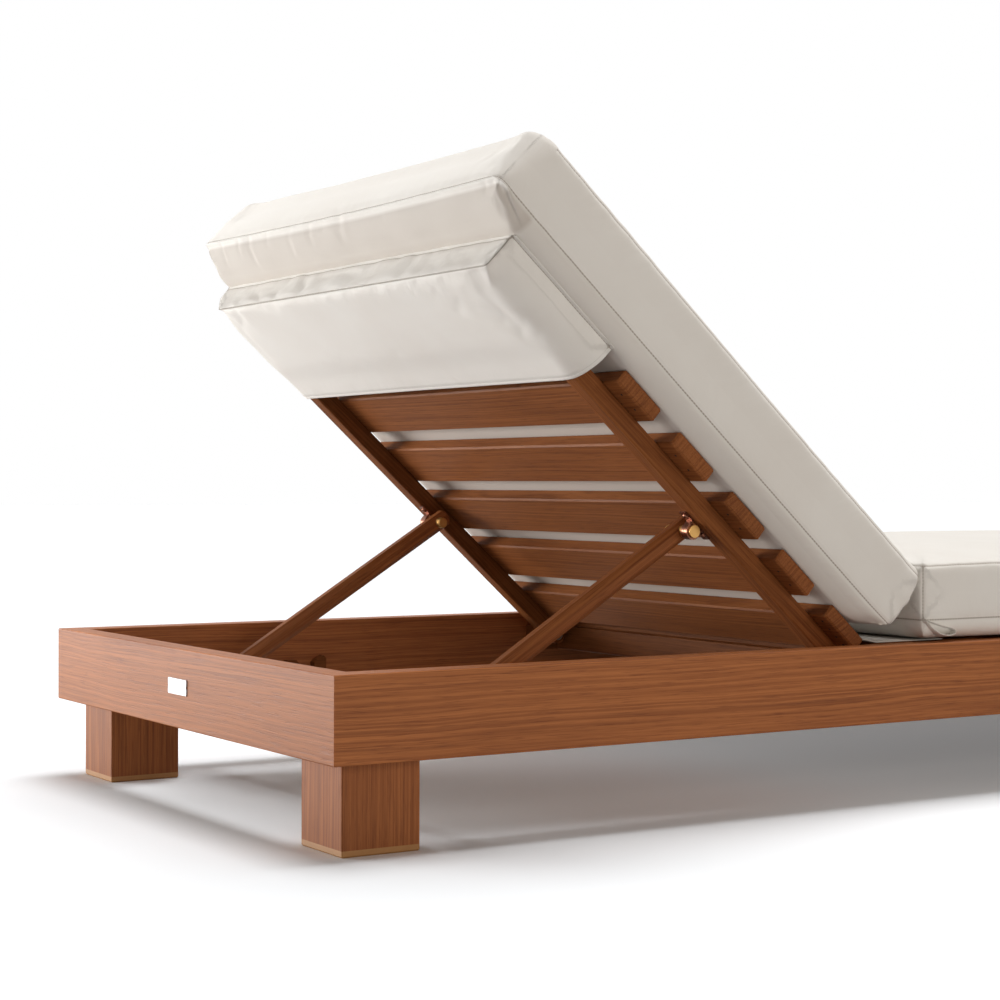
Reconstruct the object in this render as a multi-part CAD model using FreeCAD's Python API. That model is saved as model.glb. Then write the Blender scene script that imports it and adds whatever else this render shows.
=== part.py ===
"""Sun lounger: a timber frame on block legs, a propped slatted back and a hooded two-piece cushion.

Millimetres. X runs from the head end to the foot end, Y across, Z up. The origin is on the floor
under the middle of the frame. Left and right are those of someone lying on their back: left is +Y.
"""
import FreeCAD, Part
import math
import os

V = FreeCAD.Vector

# Frame
LENGTH = 2000.0
WIDTH = 760.0
RAIL_HEIGHT = 90.0
RAIL_THICK = 30.0
RAIL_ROUND = 1.5
LEG_SIDE = 90.0
LEG_HEIGHT = 89.0
LEG_INSET = 25.0
LEG_ROUND = 2.0
PAD_HEIGHT = 7.0
PAD_ROUND = 1.5
BLOCK_REACH = 104.0
BLOCK_THICK = 17.0
BLOCK_CHAMFER = 46.0
BOLT_RADIUS = 4.0
BOLT_HEAD_RADIUS = 8.0
BOLT_HEAD_HEIGHT = 5.0
BOLT_SINK = 1.0
BOLT_IN_LEG = 55.0

# Slats and what carries them
SLAT_WIDTH = 65.0
SLAT_THICK = 18.0
SLAT_EASE = 2.0
SLAT_END_CLEAR = 6.0
LEDGER_WIDTH = 22.0
LEDGER_HEIGHT = 34.0
LEDGER_PAST_PIVOT = 17.0
LEDGER_ROUND = 2.0
CROSS_RAIL_THICK = 23.0
CROSS_RAIL_HEIGHT = 34.0
CROSS_RAIL_COUNT = 2
SEAT_SLATS = 12
SEAT_START = 22.0
SEAT_END_CLEAR = 6.0

# Back
PIVOT_FROM_HEAD = 715.0
RECLINE = 41.7
HIGHER_STEPS = (52.0, 59.0, 65.0)
STILE_SIDE = 22.0
STILE_ROUND = 2.0
STILE_PAST_PIVOT = 14.0
STILE_SET_BACK = 6.0
SLAT_OVERHANG = 27.0
BACK_SLATS = 7
FIRST_BACK_SLAT = 18.6
BACK_END_CLEAR = 7.0
HINGE_RADIUS = 5.0
HINGE_HEAD_RADIUS = 8.0
HINGE_HEAD = 3.0
HINGE_END_WALL = 3.0
WASHER_RADIUS = 10.0

# Prop
PIN_ALONG = 268.0
PIN_DROP = 10.0
PIN_RADIUS = 7.2
PIN_EASE = 1.2
PIN_INNER_END = 7.0
PIN_OUTER_END = 3.0
STRUT_SIDE = 22.0
STRUT_CHAMFER = 6.4
STRUT_GAP = 11.0
STRUT_TOP = 17.0
BAR_HEAD_GAP = 34.8
BAR_RADIUS = 11.0
BAR_ROUND = 1.5
STRAP_WIDTH = 11.0
STRAP_THICK = 2.0
STRAP_UNDER_STILE = 6.0
STRAP_FOOT = 14.0
RACK_THICK = 12.0
RACK_BASE = 1.0
RACK_RISE = 9.0
RACK_LEAD = 27.0
RACK_HORN = 18.0
RACK_HORN_RISE = 5.0
RACK_EASE = 4.0

# Cushions
CUSHION_INSET = 10.0
CUSHION_THICK = 99.0
CUSHION_CROWN = 18.0
CUSHION_CORNER = 16.0
CUSHION_END_ROUND = 18.0
CUSHION_BULGE = 2.0
CUSHION_DRAW_IN = 5.0
CROWN_FALL = 4.0
CROWN_AT_ENDS = 0.4
END_STEPS = 3
BODY_STEPS = 6
BACK_CUSHION_START = 17.0
BACK_CUSHION_OVERHANG = 67.0
SEAT_CUSHION_START = 75.0
SEAT_CUSHION_END = 45.0
HOOD_LENGTH = 170.0
HOOD_CLOTH = 2.2
HOOD_ROOM = 0.8
HOOD_ROUND = 8.0
FLAP_CLOTH = 2.0
FLAP_INSET = 4.0
FLAP_RISE = 16.0

# Clearances
RUN_CLEAR = 0.05
LOOSE_CLEAR = 0.2
SOFT_CLEAR = 0.3
FACE_CLEAR = 0.3
RACK_CLEAR = 0.5
NOTCH_CLEAR = 0.6
BAR_REST_CLEAR = 1.0

# How near an edge lies to the place it is picked by
NEAR = 1.0

# Places that follow from the sizes above
HEAD_X = -LENGTH / 2
FOOT_X = LENGTH / 2
RAIL_BOTTOM = PAD_HEIGHT + LEG_HEIGHT
RAIL_TOP = RAIL_BOTTOM + RAIL_HEIGHT
INSIDE_Y = WIDTH / 2 - RAIL_THICK
SLAT_HALF = INSIDE_Y - SLAT_END_CLEAR
SLAT_BOTTOM = RAIL_TOP - SLAT_THICK
STILE_OUTER = SLAT_HALF - SLAT_OVERHANG
STILE_INNER = STILE_OUTER - STILE_SIDE
LEDGER_INNER = INSIDE_Y - LEDGER_WIDTH
PIVOT_X = HEAD_X + PIVOT_FROM_HEAD
PIVOT_Z = SLAT_BOTTOM - STILE_SIDE / 2
PIVOT = V(PIVOT_X, 0, PIVOT_Z)
BACK_END = PIVOT_FROM_HEAD - RAIL_THICK - BACK_END_CLEAR
BACK_PITCH = (BACK_END - FIRST_BACK_SLAT - SLAT_WIDTH) / (BACK_SLATS - 1)
SEAT_X = PIVOT_X + SEAT_START
SEAT_ROOM = FOOT_X - RAIL_THICK - SEAT_END_CLEAR - SEAT_X
SEAT_PITCH = (SEAT_ROOM - SLAT_WIDTH) / (SEAT_SLATS - 1)
BLOCK_TOP = RAIL_BOTTOM + BLOCK_THICK
STRUT_Y = STILE_INNER - STRUT_GAP - STRUT_SIDE / 2
STRAP_OUTER = STILE_INNER + STRAP_UNDER_STILE
BAR_Z = BLOCK_TOP + BAR_RADIUS + BAR_REST_CLEAR
BAR_HALF = INSIDE_Y - RACK_THICK - RACK_CLEAR
PIN_BELOW = STILE_SIDE / 2 + PIN_DROP
FLAT_REACH = PIVOT_FROM_HEAD - PIN_ALONG - RAIL_THICK - BAR_HEAD_GAP - BAR_RADIUS
PROP_LENGTH = math.hypot(FLAT_REACH, PIVOT_Z - PIN_BELOW - BAR_Z)
CUSHION_HALF = WIDTH / 2 - CUSHION_INSET
FLAP_HALF = SLAT_HALF - FLAP_INSET
CUSHION_LOW = SLAT_THICK + STILE_SIDE / 2 + SOFT_CLEAR


def pin_at(angle):
    """Centre of the prop's pin with the back raised to an angle in degrees."""
    turn = math.radians(angle)
    x = PIVOT_X - PIN_ALONG * math.cos(turn) - PIN_BELOW * math.sin(turn)
    z = PIVOT_Z + PIN_ALONG * math.sin(turn) - PIN_BELOW * math.cos(turn)
    return V(x, 0, z)


def prop_slope(angle):
    """Slope of the prop below level, in degrees, where its bar lies at BAR_Z."""
    return math.degrees(math.asin((pin_at(angle).z - BAR_Z) / PROP_LENGTH))


REST_SLOPE = prop_slope(RECLINE)
PROP_RATIO = (RECLINE + REST_SLOPE - prop_slope(0.0)) / RECLINE


def bar_at(angle):
    """Centre of the prop's bar when the prop turns PROP_RATIO times as far as the back."""
    slope = math.radians(REST_SLOPE + (PROP_RATIO - 1.0) * (angle - RECLINE))
    return pin_at(angle) + V(-math.cos(slope), 0, -math.sin(slope)) * PROP_LENGTH


def block(x0, x1, y0, y1, z0, z1):
    """Box between two corners, given in any order."""
    low = V(min(x0, x1), min(y0, y1), min(z0, z1))
    return Part.makeBox(abs(x1 - x0), abs(y1 - y0), abs(z1 - z0), low)


def eased_along(solid, radius, axis):
    """Solid with its straight edges along one axis rounded."""
    edges = []
    for edge in solid.Edges:
        ends = edge.Vertexes
        if len(ends) == 2:
            way = ends[1].Point.sub(ends[0].Point)
            if way.Length > radius and way.cross(axis).Length < 1e-6 * way.Length:
                edges.append(edge)
    return solid.makeFillet(radius, edges)


def slat(x0, x1):
    """Slat lying flat between two X values, with every edge eased."""
    bar = block(x0, x1, -SLAT_HALF, SLAT_HALF, SLAT_BOTTOM, RAIL_TOP)
    return bar.makeChamfer(SLAT_EASE, bar.Edges)


def prism(points, along):
    """Solid swept from a closed outline of points."""
    return Part.Face(Part.makePolygon(points + points[:1])).extrude(along)


def rod(radius, start, end):
    """Round bar between two points."""
    way = end.sub(start)
    return Part.makeCylinder(radius, way.Length, start, way)


def across(radius, centre, y0, y1):
    """Round bar along Y through a centre, between two Y values."""
    return rod(radius, V(centre.x, min(y0, y1), centre.z), V(centre.x, max(y0, y1), centre.z))


def recline(solid):
    """Turn a piece that was made lying flat up to the back's resting angle."""
    solid.rotate(PIVOT, V(0, 1, 0), RECLINE)
    return solid


def cushion_section(x, half, low, high, crown):
    """Closed outline of a cushion at one X: flat base, bowed sides, crowned top."""
    r = CUSHION_CORNER
    d = r * (1.0 - math.sqrt(0.5))
    mid = (low + high) / 2

    def at(y, z):
        return V(x, y, z)

    def arc(a, b, c):
        return Part.Arc(a, b, c).toShape()

    corners = []
    for side in (1, -1):
        corners.append([at(side * (half - r), low), at(side * (half - d), low + d), at(side * half, low + r)])
        corners.append([at(side * half, high - r), at(side * (half - d), high - d), at(side * (half - r), high)])
    base_l, top_l, base_r, top_r = corners
    edges = [
        Part.LineSegment(base_r[0], base_l[0]).toShape(),
        arc(*base_l),
        arc(base_l[2], at(half + CUSHION_BULGE, mid), top_l[0]),
        arc(*top_l),
        arc(top_l[2], at(0, high + crown), top_r[2]),
        arc(top_r[2], top_r[1], top_r[0]),
        arc(top_r[0], at(-half - CUSHION_BULGE, mid), base_r[2]),
        arc(base_r[2], base_r[1], base_r[0]),
    ]
    return Part.Wire(edges)


def cushion(x0, x1, low):
    """Closed cushion from x0 to x1: rounded ends, sides drawn in between them, crowned top."""
    span = x1 - x0
    stations = []
    for step in range(END_STEPS):
        turn = math.radians(90.0 * step / END_STEPS)
        stations.append((CUSHION_END_ROUND * (1 - math.cos(turn)), CUSHION_END_ROUND * (1 - math.sin(turn))))
    body = [(CUSHION_END_ROUND + (span - 2 * CUSHION_END_ROUND) * i / BODY_STEPS, 0.0)
            for i in range(BODY_STEPS + 1)]
    far = [(span - along, inset) for along, inset in reversed(stations)]
    wires = []
    for along, inset in stations + body + far:
        swell = math.sin(math.pi * along / span)
        half = CUSHION_HALF - inset - CUSHION_DRAW_IN * swell
        high = low + CUSHION_THICK - inset - CROWN_FALL * (1 - swell)
        crown = CUSHION_CROWN * (CROWN_AT_ENDS + (1 - CROWN_AT_ENDS) * swell)
        wires.append(cushion_section(x0 + along, half, low + inset / 3, high, crown))
    return Part.makeLoft(wires, True, True)


def end_rail(outer_x, inward):
    """Head or foot rail, mitred at both ends."""
    inner_x = outer_x + inward * RAIL_THICK
    half = WIDTH / 2
    outline = [V(outer_x, -half, RAIL_BOTTOM), V(outer_x, half, RAIL_BOTTOM),
               V(inner_x, INSIDE_Y, RAIL_BOTTOM), V(inner_x, -INSIDE_Y, RAIL_BOTTOM)]
    return eased_along(prism(outline, V(0, 0, RAIL_HEIGHT)), RAIL_ROUND, V(0, 1, 0))


def side_rail(side):
    """Side rail, mitred at both ends."""
    outer_y = side * WIDTH / 2
    inner_y = side * INSIDE_Y
    outline = [V(HEAD_X, outer_y, RAIL_BOTTOM), V(FOOT_X, outer_y, RAIL_BOTTOM),
               V(FOOT_X - RAIL_THICK, inner_y, RAIL_BOTTOM), V(HEAD_X + RAIL_THICK, inner_y, RAIL_BOTTOM)]
    return eased_along(prism(outline, V(0, 0, RAIL_HEIGHT)), RAIL_ROUND, V(1, 0, 0))


def bolt_cut(centre, head_top):
    """Hole for one leg bolt with its sunk head, open at the top."""
    shank = rod(BOLT_RADIUS + LOOSE_CLEAR, V(centre.x, centre.y, RAIL_BOTTOM - BOLT_IN_LEG),
                V(centre.x, centre.y, head_top))
    head = rod(BOLT_HEAD_RADIUS + LOOSE_CLEAR, V(centre.x, centre.y, head_top - BOLT_HEAD_HEIGHT),
               V(centre.x, centre.y, head_top + 2 * BOLT_SINK))
    return shank.fuse(head)


def leg_bolt(centre, head_top):
    """One leg bolt: a shank under a round head."""
    under = head_top - BOLT_HEAD_HEIGHT
    shank = rod(BOLT_RADIUS, V(centre.x, centre.y, RAIL_BOTTOM - BOLT_IN_LEG + LOOSE_CLEAR),
                V(centre.x, centre.y, under))
    head = rod(BOLT_HEAD_RADIUS, V(centre.x, centre.y, under), V(centre.x, centre.y, head_top))
    return shank.fuse(head).removeSplitter()


def leg_set(end, side):
    """Leg, its floor pad, the corner block above it and the bolt through both."""
    outer_x = end * (LENGTH / 2 - LEG_INSET)
    outer_y = side * INSIDE_Y
    inner_x = outer_x - end * LEG_SIDE
    inner_y = outer_y - side * LEG_SIDE
    inside_x = end * (LENGTH / 2 - RAIL_THICK)
    leg = block(outer_x, inner_x, outer_y, inner_y, PAD_HEIGHT, RAIL_BOTTOM)
    leg = eased_along(leg, LEG_ROUND, V(0, 0, 1))
    pad = eased_along(block(outer_x, inner_x, outer_y, inner_y, 0, PAD_HEIGHT), LEG_ROUND, V(0, 0, 1))
    pad = pad.makeChamfer(PAD_ROUND, [e for e in pad.Edges if e.BoundBox.ZMax < PAD_HEIGHT / 2])
    reach_x = inside_x - end * BLOCK_REACH
    reach_y = outer_y - side * BLOCK_REACH
    outline = [V(inside_x, outer_y, RAIL_BOTTOM), V(reach_x, outer_y, RAIL_BOTTOM),
               V(reach_x, reach_y + side * BLOCK_CHAMFER, RAIL_BOTTOM),
               V(reach_x + end * BLOCK_CHAMFER, reach_y, RAIL_BOTTOM), V(inside_x, reach_y, RAIL_BOTTOM)]
    corner = prism(outline, V(0, 0, BLOCK_THICK))
    head_top = BLOCK_TOP - BOLT_SINK
    centre = V((outer_x + inner_x) / 2, (outer_y + inner_y) / 2, 0)
    hole = bolt_cut(centre, head_top)
    return leg.cut(hole), pad, corner.cut(hole), leg_bolt(centre, head_top)


def ledger(side):
    """Bearer along a side rail that carries the seat slats and, at its head end, the back's hinge pin."""
    x0 = PIVOT_X - LEDGER_PAST_PIVOT
    x1 = FOOT_X - RAIL_THICK
    bar = block(x0, x1, side * LEDGER_INNER, side * INSIDE_Y, SLAT_BOTTOM - LEDGER_HEIGHT, SLAT_BOTTOM)
    under = [e for e in bar.Edges if e.BoundBox.XMax < x0 + NEAR and e.BoundBox.ZMax < PIVOT_Z
             and e.BoundBox.YLength > NEAR]
    bar = bar.makeFillet(LEDGER_PAST_PIVOT - LEDGER_ROUND, under)
    bore = across(HINGE_RADIUS + RUN_CLEAR, PIVOT, side * LEDGER_INNER, side * (INSIDE_Y - HINGE_END_WALL))
    return bar.cut(bore)


def cross_rail(x):
    """Bearer between the two ledgers, under the seat slats."""
    bar = block(x, x + CROSS_RAIL_THICK, -LEDGER_INNER, LEDGER_INNER, SLAT_BOTTOM - CROSS_RAIL_HEIGHT, SLAT_BOTTOM)
    return eased_along(bar, LEDGER_ROUND, V(0, 1, 0))


def seat_slat(index):
    """One seat slat, counted from the hinge."""
    x = SEAT_X + index * SEAT_PITCH
    return slat(x, x + SLAT_WIDTH)


def hinge_pin(side):
    """Headed pin that the back turns on, driven into the ledger."""
    shank = across(HINGE_RADIUS, PIVOT, side * (STILE_INNER - FACE_CLEAR),
                   side * (INSIDE_Y - HINGE_END_WALL - FACE_CLEAR))
    head = across(HINGE_HEAD_RADIUS, PIVOT, side * (STILE_INNER - FACE_CLEAR - HINGE_HEAD),
                  side * (STILE_INNER - FACE_CLEAR))
    return shank.fuse(head).removeSplitter()


def hinge_washer(side):
    """Spacer ring on a hinge pin, between the ledger and the back's stile."""
    near = side * (STILE_OUTER + FACE_CLEAR)
    far = side * LEDGER_INNER
    ring = across(WASHER_RADIUS, PIVOT, near, far)
    return ring.cut(across(HINGE_RADIUS + LOOSE_CLEAR, PIVOT, near, far))


def rack(side):
    """Notched cleat on a side rail that holds the prop's bar at each step of the back."""
    y0 = side * (INSIDE_Y - RACK_THICK)
    y1 = side * INSIDE_Y
    foot = RAIL_BOTTOM + RACK_BASE
    tip = BAR_Z + RACK_RISE
    radius = BAR_RADIUS + NOTCH_CLEAR
    seats = [bar_at(angle) for angle in (RECLINE,) + HIGHER_STEPS]
    first = seats[0].x - radius - RACK_LEAD
    last = seats[-1].x + radius + RACK_HORN
    outline = [V(last, y0, foot), V(first, y0, foot)]
    tooth_start = first
    for seat in seats + [None]:
        tooth_end = seat.x - radius if seat else last
        rise = tip if seat else tip + RACK_HORN_RISE
        ease = min(RACK_EASE, (tooth_end - tooth_start) / 3)
        outline += [V(tooth_start, y0, tip - ease), V(tooth_start + ease, y0, tip),
                    V(tooth_end - ease, y0, rise), V(tooth_end, y0, rise - ease)]
        if seat:
            tooth_start = seat.x + radius
            outline += [V(tooth_end, y0, seat.z), V(tooth_start, y0, seat.z)]
    cleat = prism(outline, V(0, y1 - y0, 0))
    for seat in seats:
        cleat = cleat.cut(across(radius, seat, y0, y1))
    return cleat


def back_stile(side):
    """Long member of the back, bored for its hinge pin and rounded there."""
    x0 = PIVOT_X - BACK_END + STILE_SET_BACK
    x1 = PIVOT_X + STILE_PAST_PIVOT
    half = STILE_SIDE / 2
    bar = block(x0, x1, side * STILE_INNER, side * STILE_OUTER, PIVOT_Z - half, PIVOT_Z + half)
    bar = eased_along(bar, STILE_ROUND, V(1, 0, 0))
    nose = V(x1 - half, 0, PIVOT_Z)
    keep = block(x0, nose.x, side * STILE_INNER, side * STILE_OUTER, PIVOT_Z - half, PIVOT_Z + half)
    bar = bar.common(keep.fuse(across(half, nose, side * STILE_INNER, side * STILE_OUTER)))
    bore = across(HINGE_RADIUS + RUN_CLEAR, PIVOT, side * STILE_INNER, side * STILE_OUTER)
    return recline(bar.cut(bore))


def back_slat(index):
    """One back slat, counted from the hinge."""
    x1 = PIVOT_X - FIRST_BACK_SLAT - index * BACK_PITCH
    return recline(slat(x1 - SLAT_WIDTH, x1))


def pivot_strap(side):
    """Bent metal saddle that hangs the prop's pin under a stile."""
    centre = pin_at(0.0)
    inner = PIN_RADIUS + LOOSE_CLEAR
    outer = inner + STRAP_THICK
    under = PIVOT_Z - STILE_SIDE / 2
    y0 = side * (STRAP_OUTER - STRAP_WIDTH)
    y1 = side * STRAP_OUTER
    bow = across(outer, centre, y0, y1)
    bow = bow.fuse(block(centre.x - outer, centre.x + outer, y0, y1, centre.z, under))
    reach = outer + STRAP_FOOT
    bow = bow.fuse(block(centre.x - reach, centre.x + reach, y0, y1, under - STRAP_THICK, under))
    hollow = across(inner, centre, y0, y1)
    hollow = hollow.fuse(block(centre.x - inner, centre.x + inner, y0, y1, centre.z, under))
    return recline(bow.cut(hollow).removeSplitter())


def strut(side):
    """Eight-sided prop arm from the pin down to the bar, hollowed to sit on the bar."""
    pin = pin_at(RECLINE)
    half = STRUT_SIDE / 2
    cut = half - STRUT_CHAMFER
    y = side * STRUT_Y
    x0 = pin.x - PROP_LENGTH
    section = [(half, cut), (cut, half), (-cut, half), (-half, cut),
               (-half, -cut), (-cut, -half), (cut, -half), (half, -cut)]
    outline = [V(x0, y + dy, pin.z + dz) for dy, dz in section]
    arm = prism(outline, V(PROP_LENGTH + STRUT_TOP, 0, 0))
    top = [e for e in arm.Edges if e.BoundBox.XMin > pin.x + STRUT_TOP - NEAR]
    arm = arm.makeChamfer(STRUT_CHAMFER / 2, top)
    arm.rotate(pin, V(0, 1, 0), -REST_SLOPE)
    reach = abs(y) + STRUT_SIDE
    arm = arm.cut(across(PIN_RADIUS + RUN_CLEAR, pin, -reach, reach))
    return arm.cut(across(BAR_RADIUS + RUN_CLEAR, bar_at(RECLINE), -reach, reach))


def prop_bar():
    """Round bar that joins the two struts and drops into the racks."""
    bar = across(BAR_RADIUS, bar_at(RECLINE), -BAR_HALF, BAR_HALF)
    return bar.makeChamfer(BAR_ROUND, [e for e in bar.Edges if e.BoundBox.YLength < BAR_ROUND])


def pivot_pin(side):
    """Turned pin through a strut and its strap."""
    inner = side * (STRUT_Y - STRUT_SIDE / 2 - PIN_INNER_END)
    outer = side * (STRAP_OUTER + PIN_OUTER_END)
    pin = across(PIN_RADIUS, pin_at(RECLINE), inner, outer)
    rim = [e for e in pin.Edges if e.BoundBox.YLength < PIN_EASE and abs(e.BoundBox.YMin) < STRUT_Y]
    return pin.makeChamfer(PIN_EASE, rim)


def back_cushion():
    """Cushion on the back slats, from just above the hinge to past the head end."""
    x1 = PIVOT_X - BACK_CUSHION_START
    x0 = PIVOT_X - BACK_END - BACK_CUSHION_OVERHANG
    return recline(cushion(x0, x1, PIVOT_Z + CUSHION_LOW))


def seat_cushion():
    """Cushion on the seat slats."""
    return cushion(PIVOT_X + SEAT_CUSHION_START, FOOT_X - SEAT_CUSHION_END, RAIL_TOP + SOFT_CLEAR)


def hood():
    """Cloth pocket under the back cushion that slips over the head end of the back."""
    half = STILE_SIDE / 2
    room_x = PIVOT_X - BACK_END - HOOD_ROOM
    x0 = room_x - HOOD_CLOTH
    x1 = x0 + HOOD_LENGTH
    room_y = SLAT_HALF + HOOD_ROOM
    out_y = room_y + HOOD_CLOTH
    room_z = PIVOT_Z - half - HOOD_ROOM
    top = PIVOT_Z + CUSHION_LOW - SOFT_CLEAR
    shell = block(x0, x1, -out_y, out_y, room_z - HOOD_CLOTH, top)
    folds = [e for e in shell.Edges if e.BoundBox.ZMax < PIVOT_Z and e.BoundBox.XMax < x0 + NEAR]
    shell = shell.makeFillet(HOOD_ROUND, folds)
    pocket = block(room_x, x1, -room_y, room_y, room_z, top)
    folds = [e for e in pocket.Edges if e.BoundBox.ZMax < PIVOT_Z and e.BoundBox.XMax < room_x + NEAR]
    return recline(shell.cut(pocket.makeFillet(HOOD_ROUND - HOOD_CLOTH, folds)))


def cushion_flap():
    """Cloth strip that joins the two cushions low down, over the hinge."""
    turn = math.radians(RECLINE)
    low = RAIL_TOP + SOFT_CLEAR
    end_x = PIVOT_X + SEAT_CUSHION_START - SOFT_CLEAR
    along = BACK_CUSHION_START - SOFT_CLEAR
    up = CUSHION_LOW + FLAP_RISE
    tip = V(PIVOT_X - along * math.cos(turn) + up * math.sin(turn), -FLAP_HALF,
            PIVOT_Z + along * math.sin(turn) + up * math.cos(turn))
    y = -FLAP_HALF
    outline = [V(end_x, y, low), V(SEAT_X, y, low), tip, V(tip.x + FLAP_CLOTH, y, tip.z),
               V(SEAT_X + FLAP_CLOTH, y, low + FLAP_CLOTH), V(end_x, y, low + FLAP_CLOTH)]
    return prism(outline, V(0, 2 * FLAP_HALF, 0))


def build():
    """Every piece of the lounger, by node name."""
    sides = (("left", 1), ("right", -1))
    nodes = {"head_rail": end_rail(HEAD_X, 1), "foot_rail": end_rail(FOOT_X, -1)}
    bolts = []
    washers = []
    for name, side in sides:
        nodes["side_rail_" + name] = side_rail(side)
        for place, end in (("head", -1), ("foot", 1)):
            leg, pad, corner, bolt = leg_set(end, side)
            nodes["leg_%s_%s" % (place, name)] = leg
            nodes["foot_pad_%s_%s" % (place, name)] = pad
            nodes["corner_block_%s_%s" % (place, name)] = corner
            bolts.append(bolt)
        nodes["ledger_" + name] = ledger(side)
        nodes["rack_" + name] = rack(side)
        nodes["hinge_pin_" + name] = hinge_pin(side)
        nodes["back_stile_" + name] = back_stile(side)
        nodes["pivot_strap_" + name] = pivot_strap(side)
        nodes["strut_" + name] = strut(side)
        nodes["pivot_pin_" + name] = pivot_pin(side)
        washers.append(hinge_washer(side))
    nodes["leg_bolts"] = Part.makeCompound(bolts)
    nodes["hinge_washers"] = Part.makeCompound(washers)
    nodes["hinge_cross_rail"] = cross_rail(SEAT_X)
    for index in range(CROSS_RAIL_COUNT):
        share = (index + 1.0) / (CROSS_RAIL_COUNT + 1)
        nodes["cross_rail_%d" % (index + 1)] = cross_rail(SEAT_X + share * SEAT_ROOM)
    for index in range(SEAT_SLATS):
        nodes["seat_slat_%02d" % (index + 1)] = seat_slat(index)
    for index in range(BACK_SLATS):
        nodes["back_slat_%d" % (index + 1)] = back_slat(index)
    nodes["prop_bar"] = prop_bar()
    nodes["back_cushion"] = back_cushion()
    nodes["hood"] = hood()
    nodes["seat_cushion"] = seat_cushion()
    nodes["cushion_flap"] = cushion_flap()
    return nodes


os.makedirs("parts", exist_ok=True)
for node, shape in build().items():
    shape.exportStep("parts/%s.step" % node)
print("prop ratio %.4f, slope %.3f degrees, length %.1f" % (PROP_RATIO, REST_SLOPE, PROP_LENGTH))
print("back slats %d, seat slats %d, pivot z %.1f" % (BACK_SLATS, SEAT_SLATS, PIVOT_Z))
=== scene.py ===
"""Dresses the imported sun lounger: timber, small metal, cushions, hood, name plate and studio.

Metres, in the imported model's frame: X runs from the head end to the foot end, Y across and Z up. The camera looks
past the head end from the near side, which is -Y. Pieces of the back are modelled lying flat, as they would be with
the back let down, and are then turned up about the hinge.
"""
import logging
import math
from dataclasses import dataclass
from enum import Enum
from typing import Sequence

import bmesh
import bpy
from mathutils import Matrix, Vector, noise


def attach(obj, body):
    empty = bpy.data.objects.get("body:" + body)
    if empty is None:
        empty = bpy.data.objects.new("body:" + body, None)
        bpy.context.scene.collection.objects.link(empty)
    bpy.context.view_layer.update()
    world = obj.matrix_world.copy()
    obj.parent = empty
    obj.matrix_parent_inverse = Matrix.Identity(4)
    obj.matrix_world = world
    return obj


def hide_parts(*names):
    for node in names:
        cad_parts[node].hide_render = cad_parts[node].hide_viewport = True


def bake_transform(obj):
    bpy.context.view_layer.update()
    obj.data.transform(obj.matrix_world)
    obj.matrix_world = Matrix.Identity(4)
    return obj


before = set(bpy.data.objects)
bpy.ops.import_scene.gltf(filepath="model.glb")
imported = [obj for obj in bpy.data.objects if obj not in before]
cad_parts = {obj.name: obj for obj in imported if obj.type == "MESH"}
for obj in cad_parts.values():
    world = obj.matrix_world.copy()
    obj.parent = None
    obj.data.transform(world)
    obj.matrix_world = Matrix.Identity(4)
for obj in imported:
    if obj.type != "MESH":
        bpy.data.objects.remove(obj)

LOG = logging.getLogger("sun_lounger")

Colour = tuple[float, float, float]

# Hinge of the back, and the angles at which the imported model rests
HINGE_X = -0.285
HINGE_Z = 0.157
RECLINE = math.radians(41.7)
PROP_SLOPE = math.radians(31.6)


def srgb(red: int, green: int, blue: int) -> Colour:
    """Linear colour of an eight-bit screen colour.

    Args:
        red: Red from 0 to 255.
        green: Green from 0 to 255.
        blue: Blue from 0 to 255.

    Returns:
        The three linear values.
    """
    values = []
    for part in (red, green, blue):
        share = part / 255.0
        values.append(share / 12.92 if share <= 0.04045 else ((share + 0.055) / 1.055) ** 2.4)
    return values[0], values[1], values[2]


def turned_up() -> Matrix:
    """Matrix that turns a piece of the flat back up to its resting angle about the hinge."""
    hinge = Matrix.Translation((HINGE_X, 0.0, HINGE_Z))
    return hinge @ Matrix.Rotation(RECLINE, 4, "Y") @ hinge.inverted()


def eased(value: float) -> float:
    """Smooth step of a value from 0 to 1."""
    share = min(1.0, max(0.0, value))
    return share * share * (3.0 - 2.0 * share)


class Body(Enum):
    """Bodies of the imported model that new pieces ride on."""

    FRAME = "frame"
    BACK = "back"
    SEAT_PAD = "seat_pad"


class Slot(Enum):
    """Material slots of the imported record."""

    CUSHION_CLOTH = "cushion_cloth"
    HINGE_STEEL = "hinge_steel"
    STRAP_BRONZE = "strap_bronze"


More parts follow.
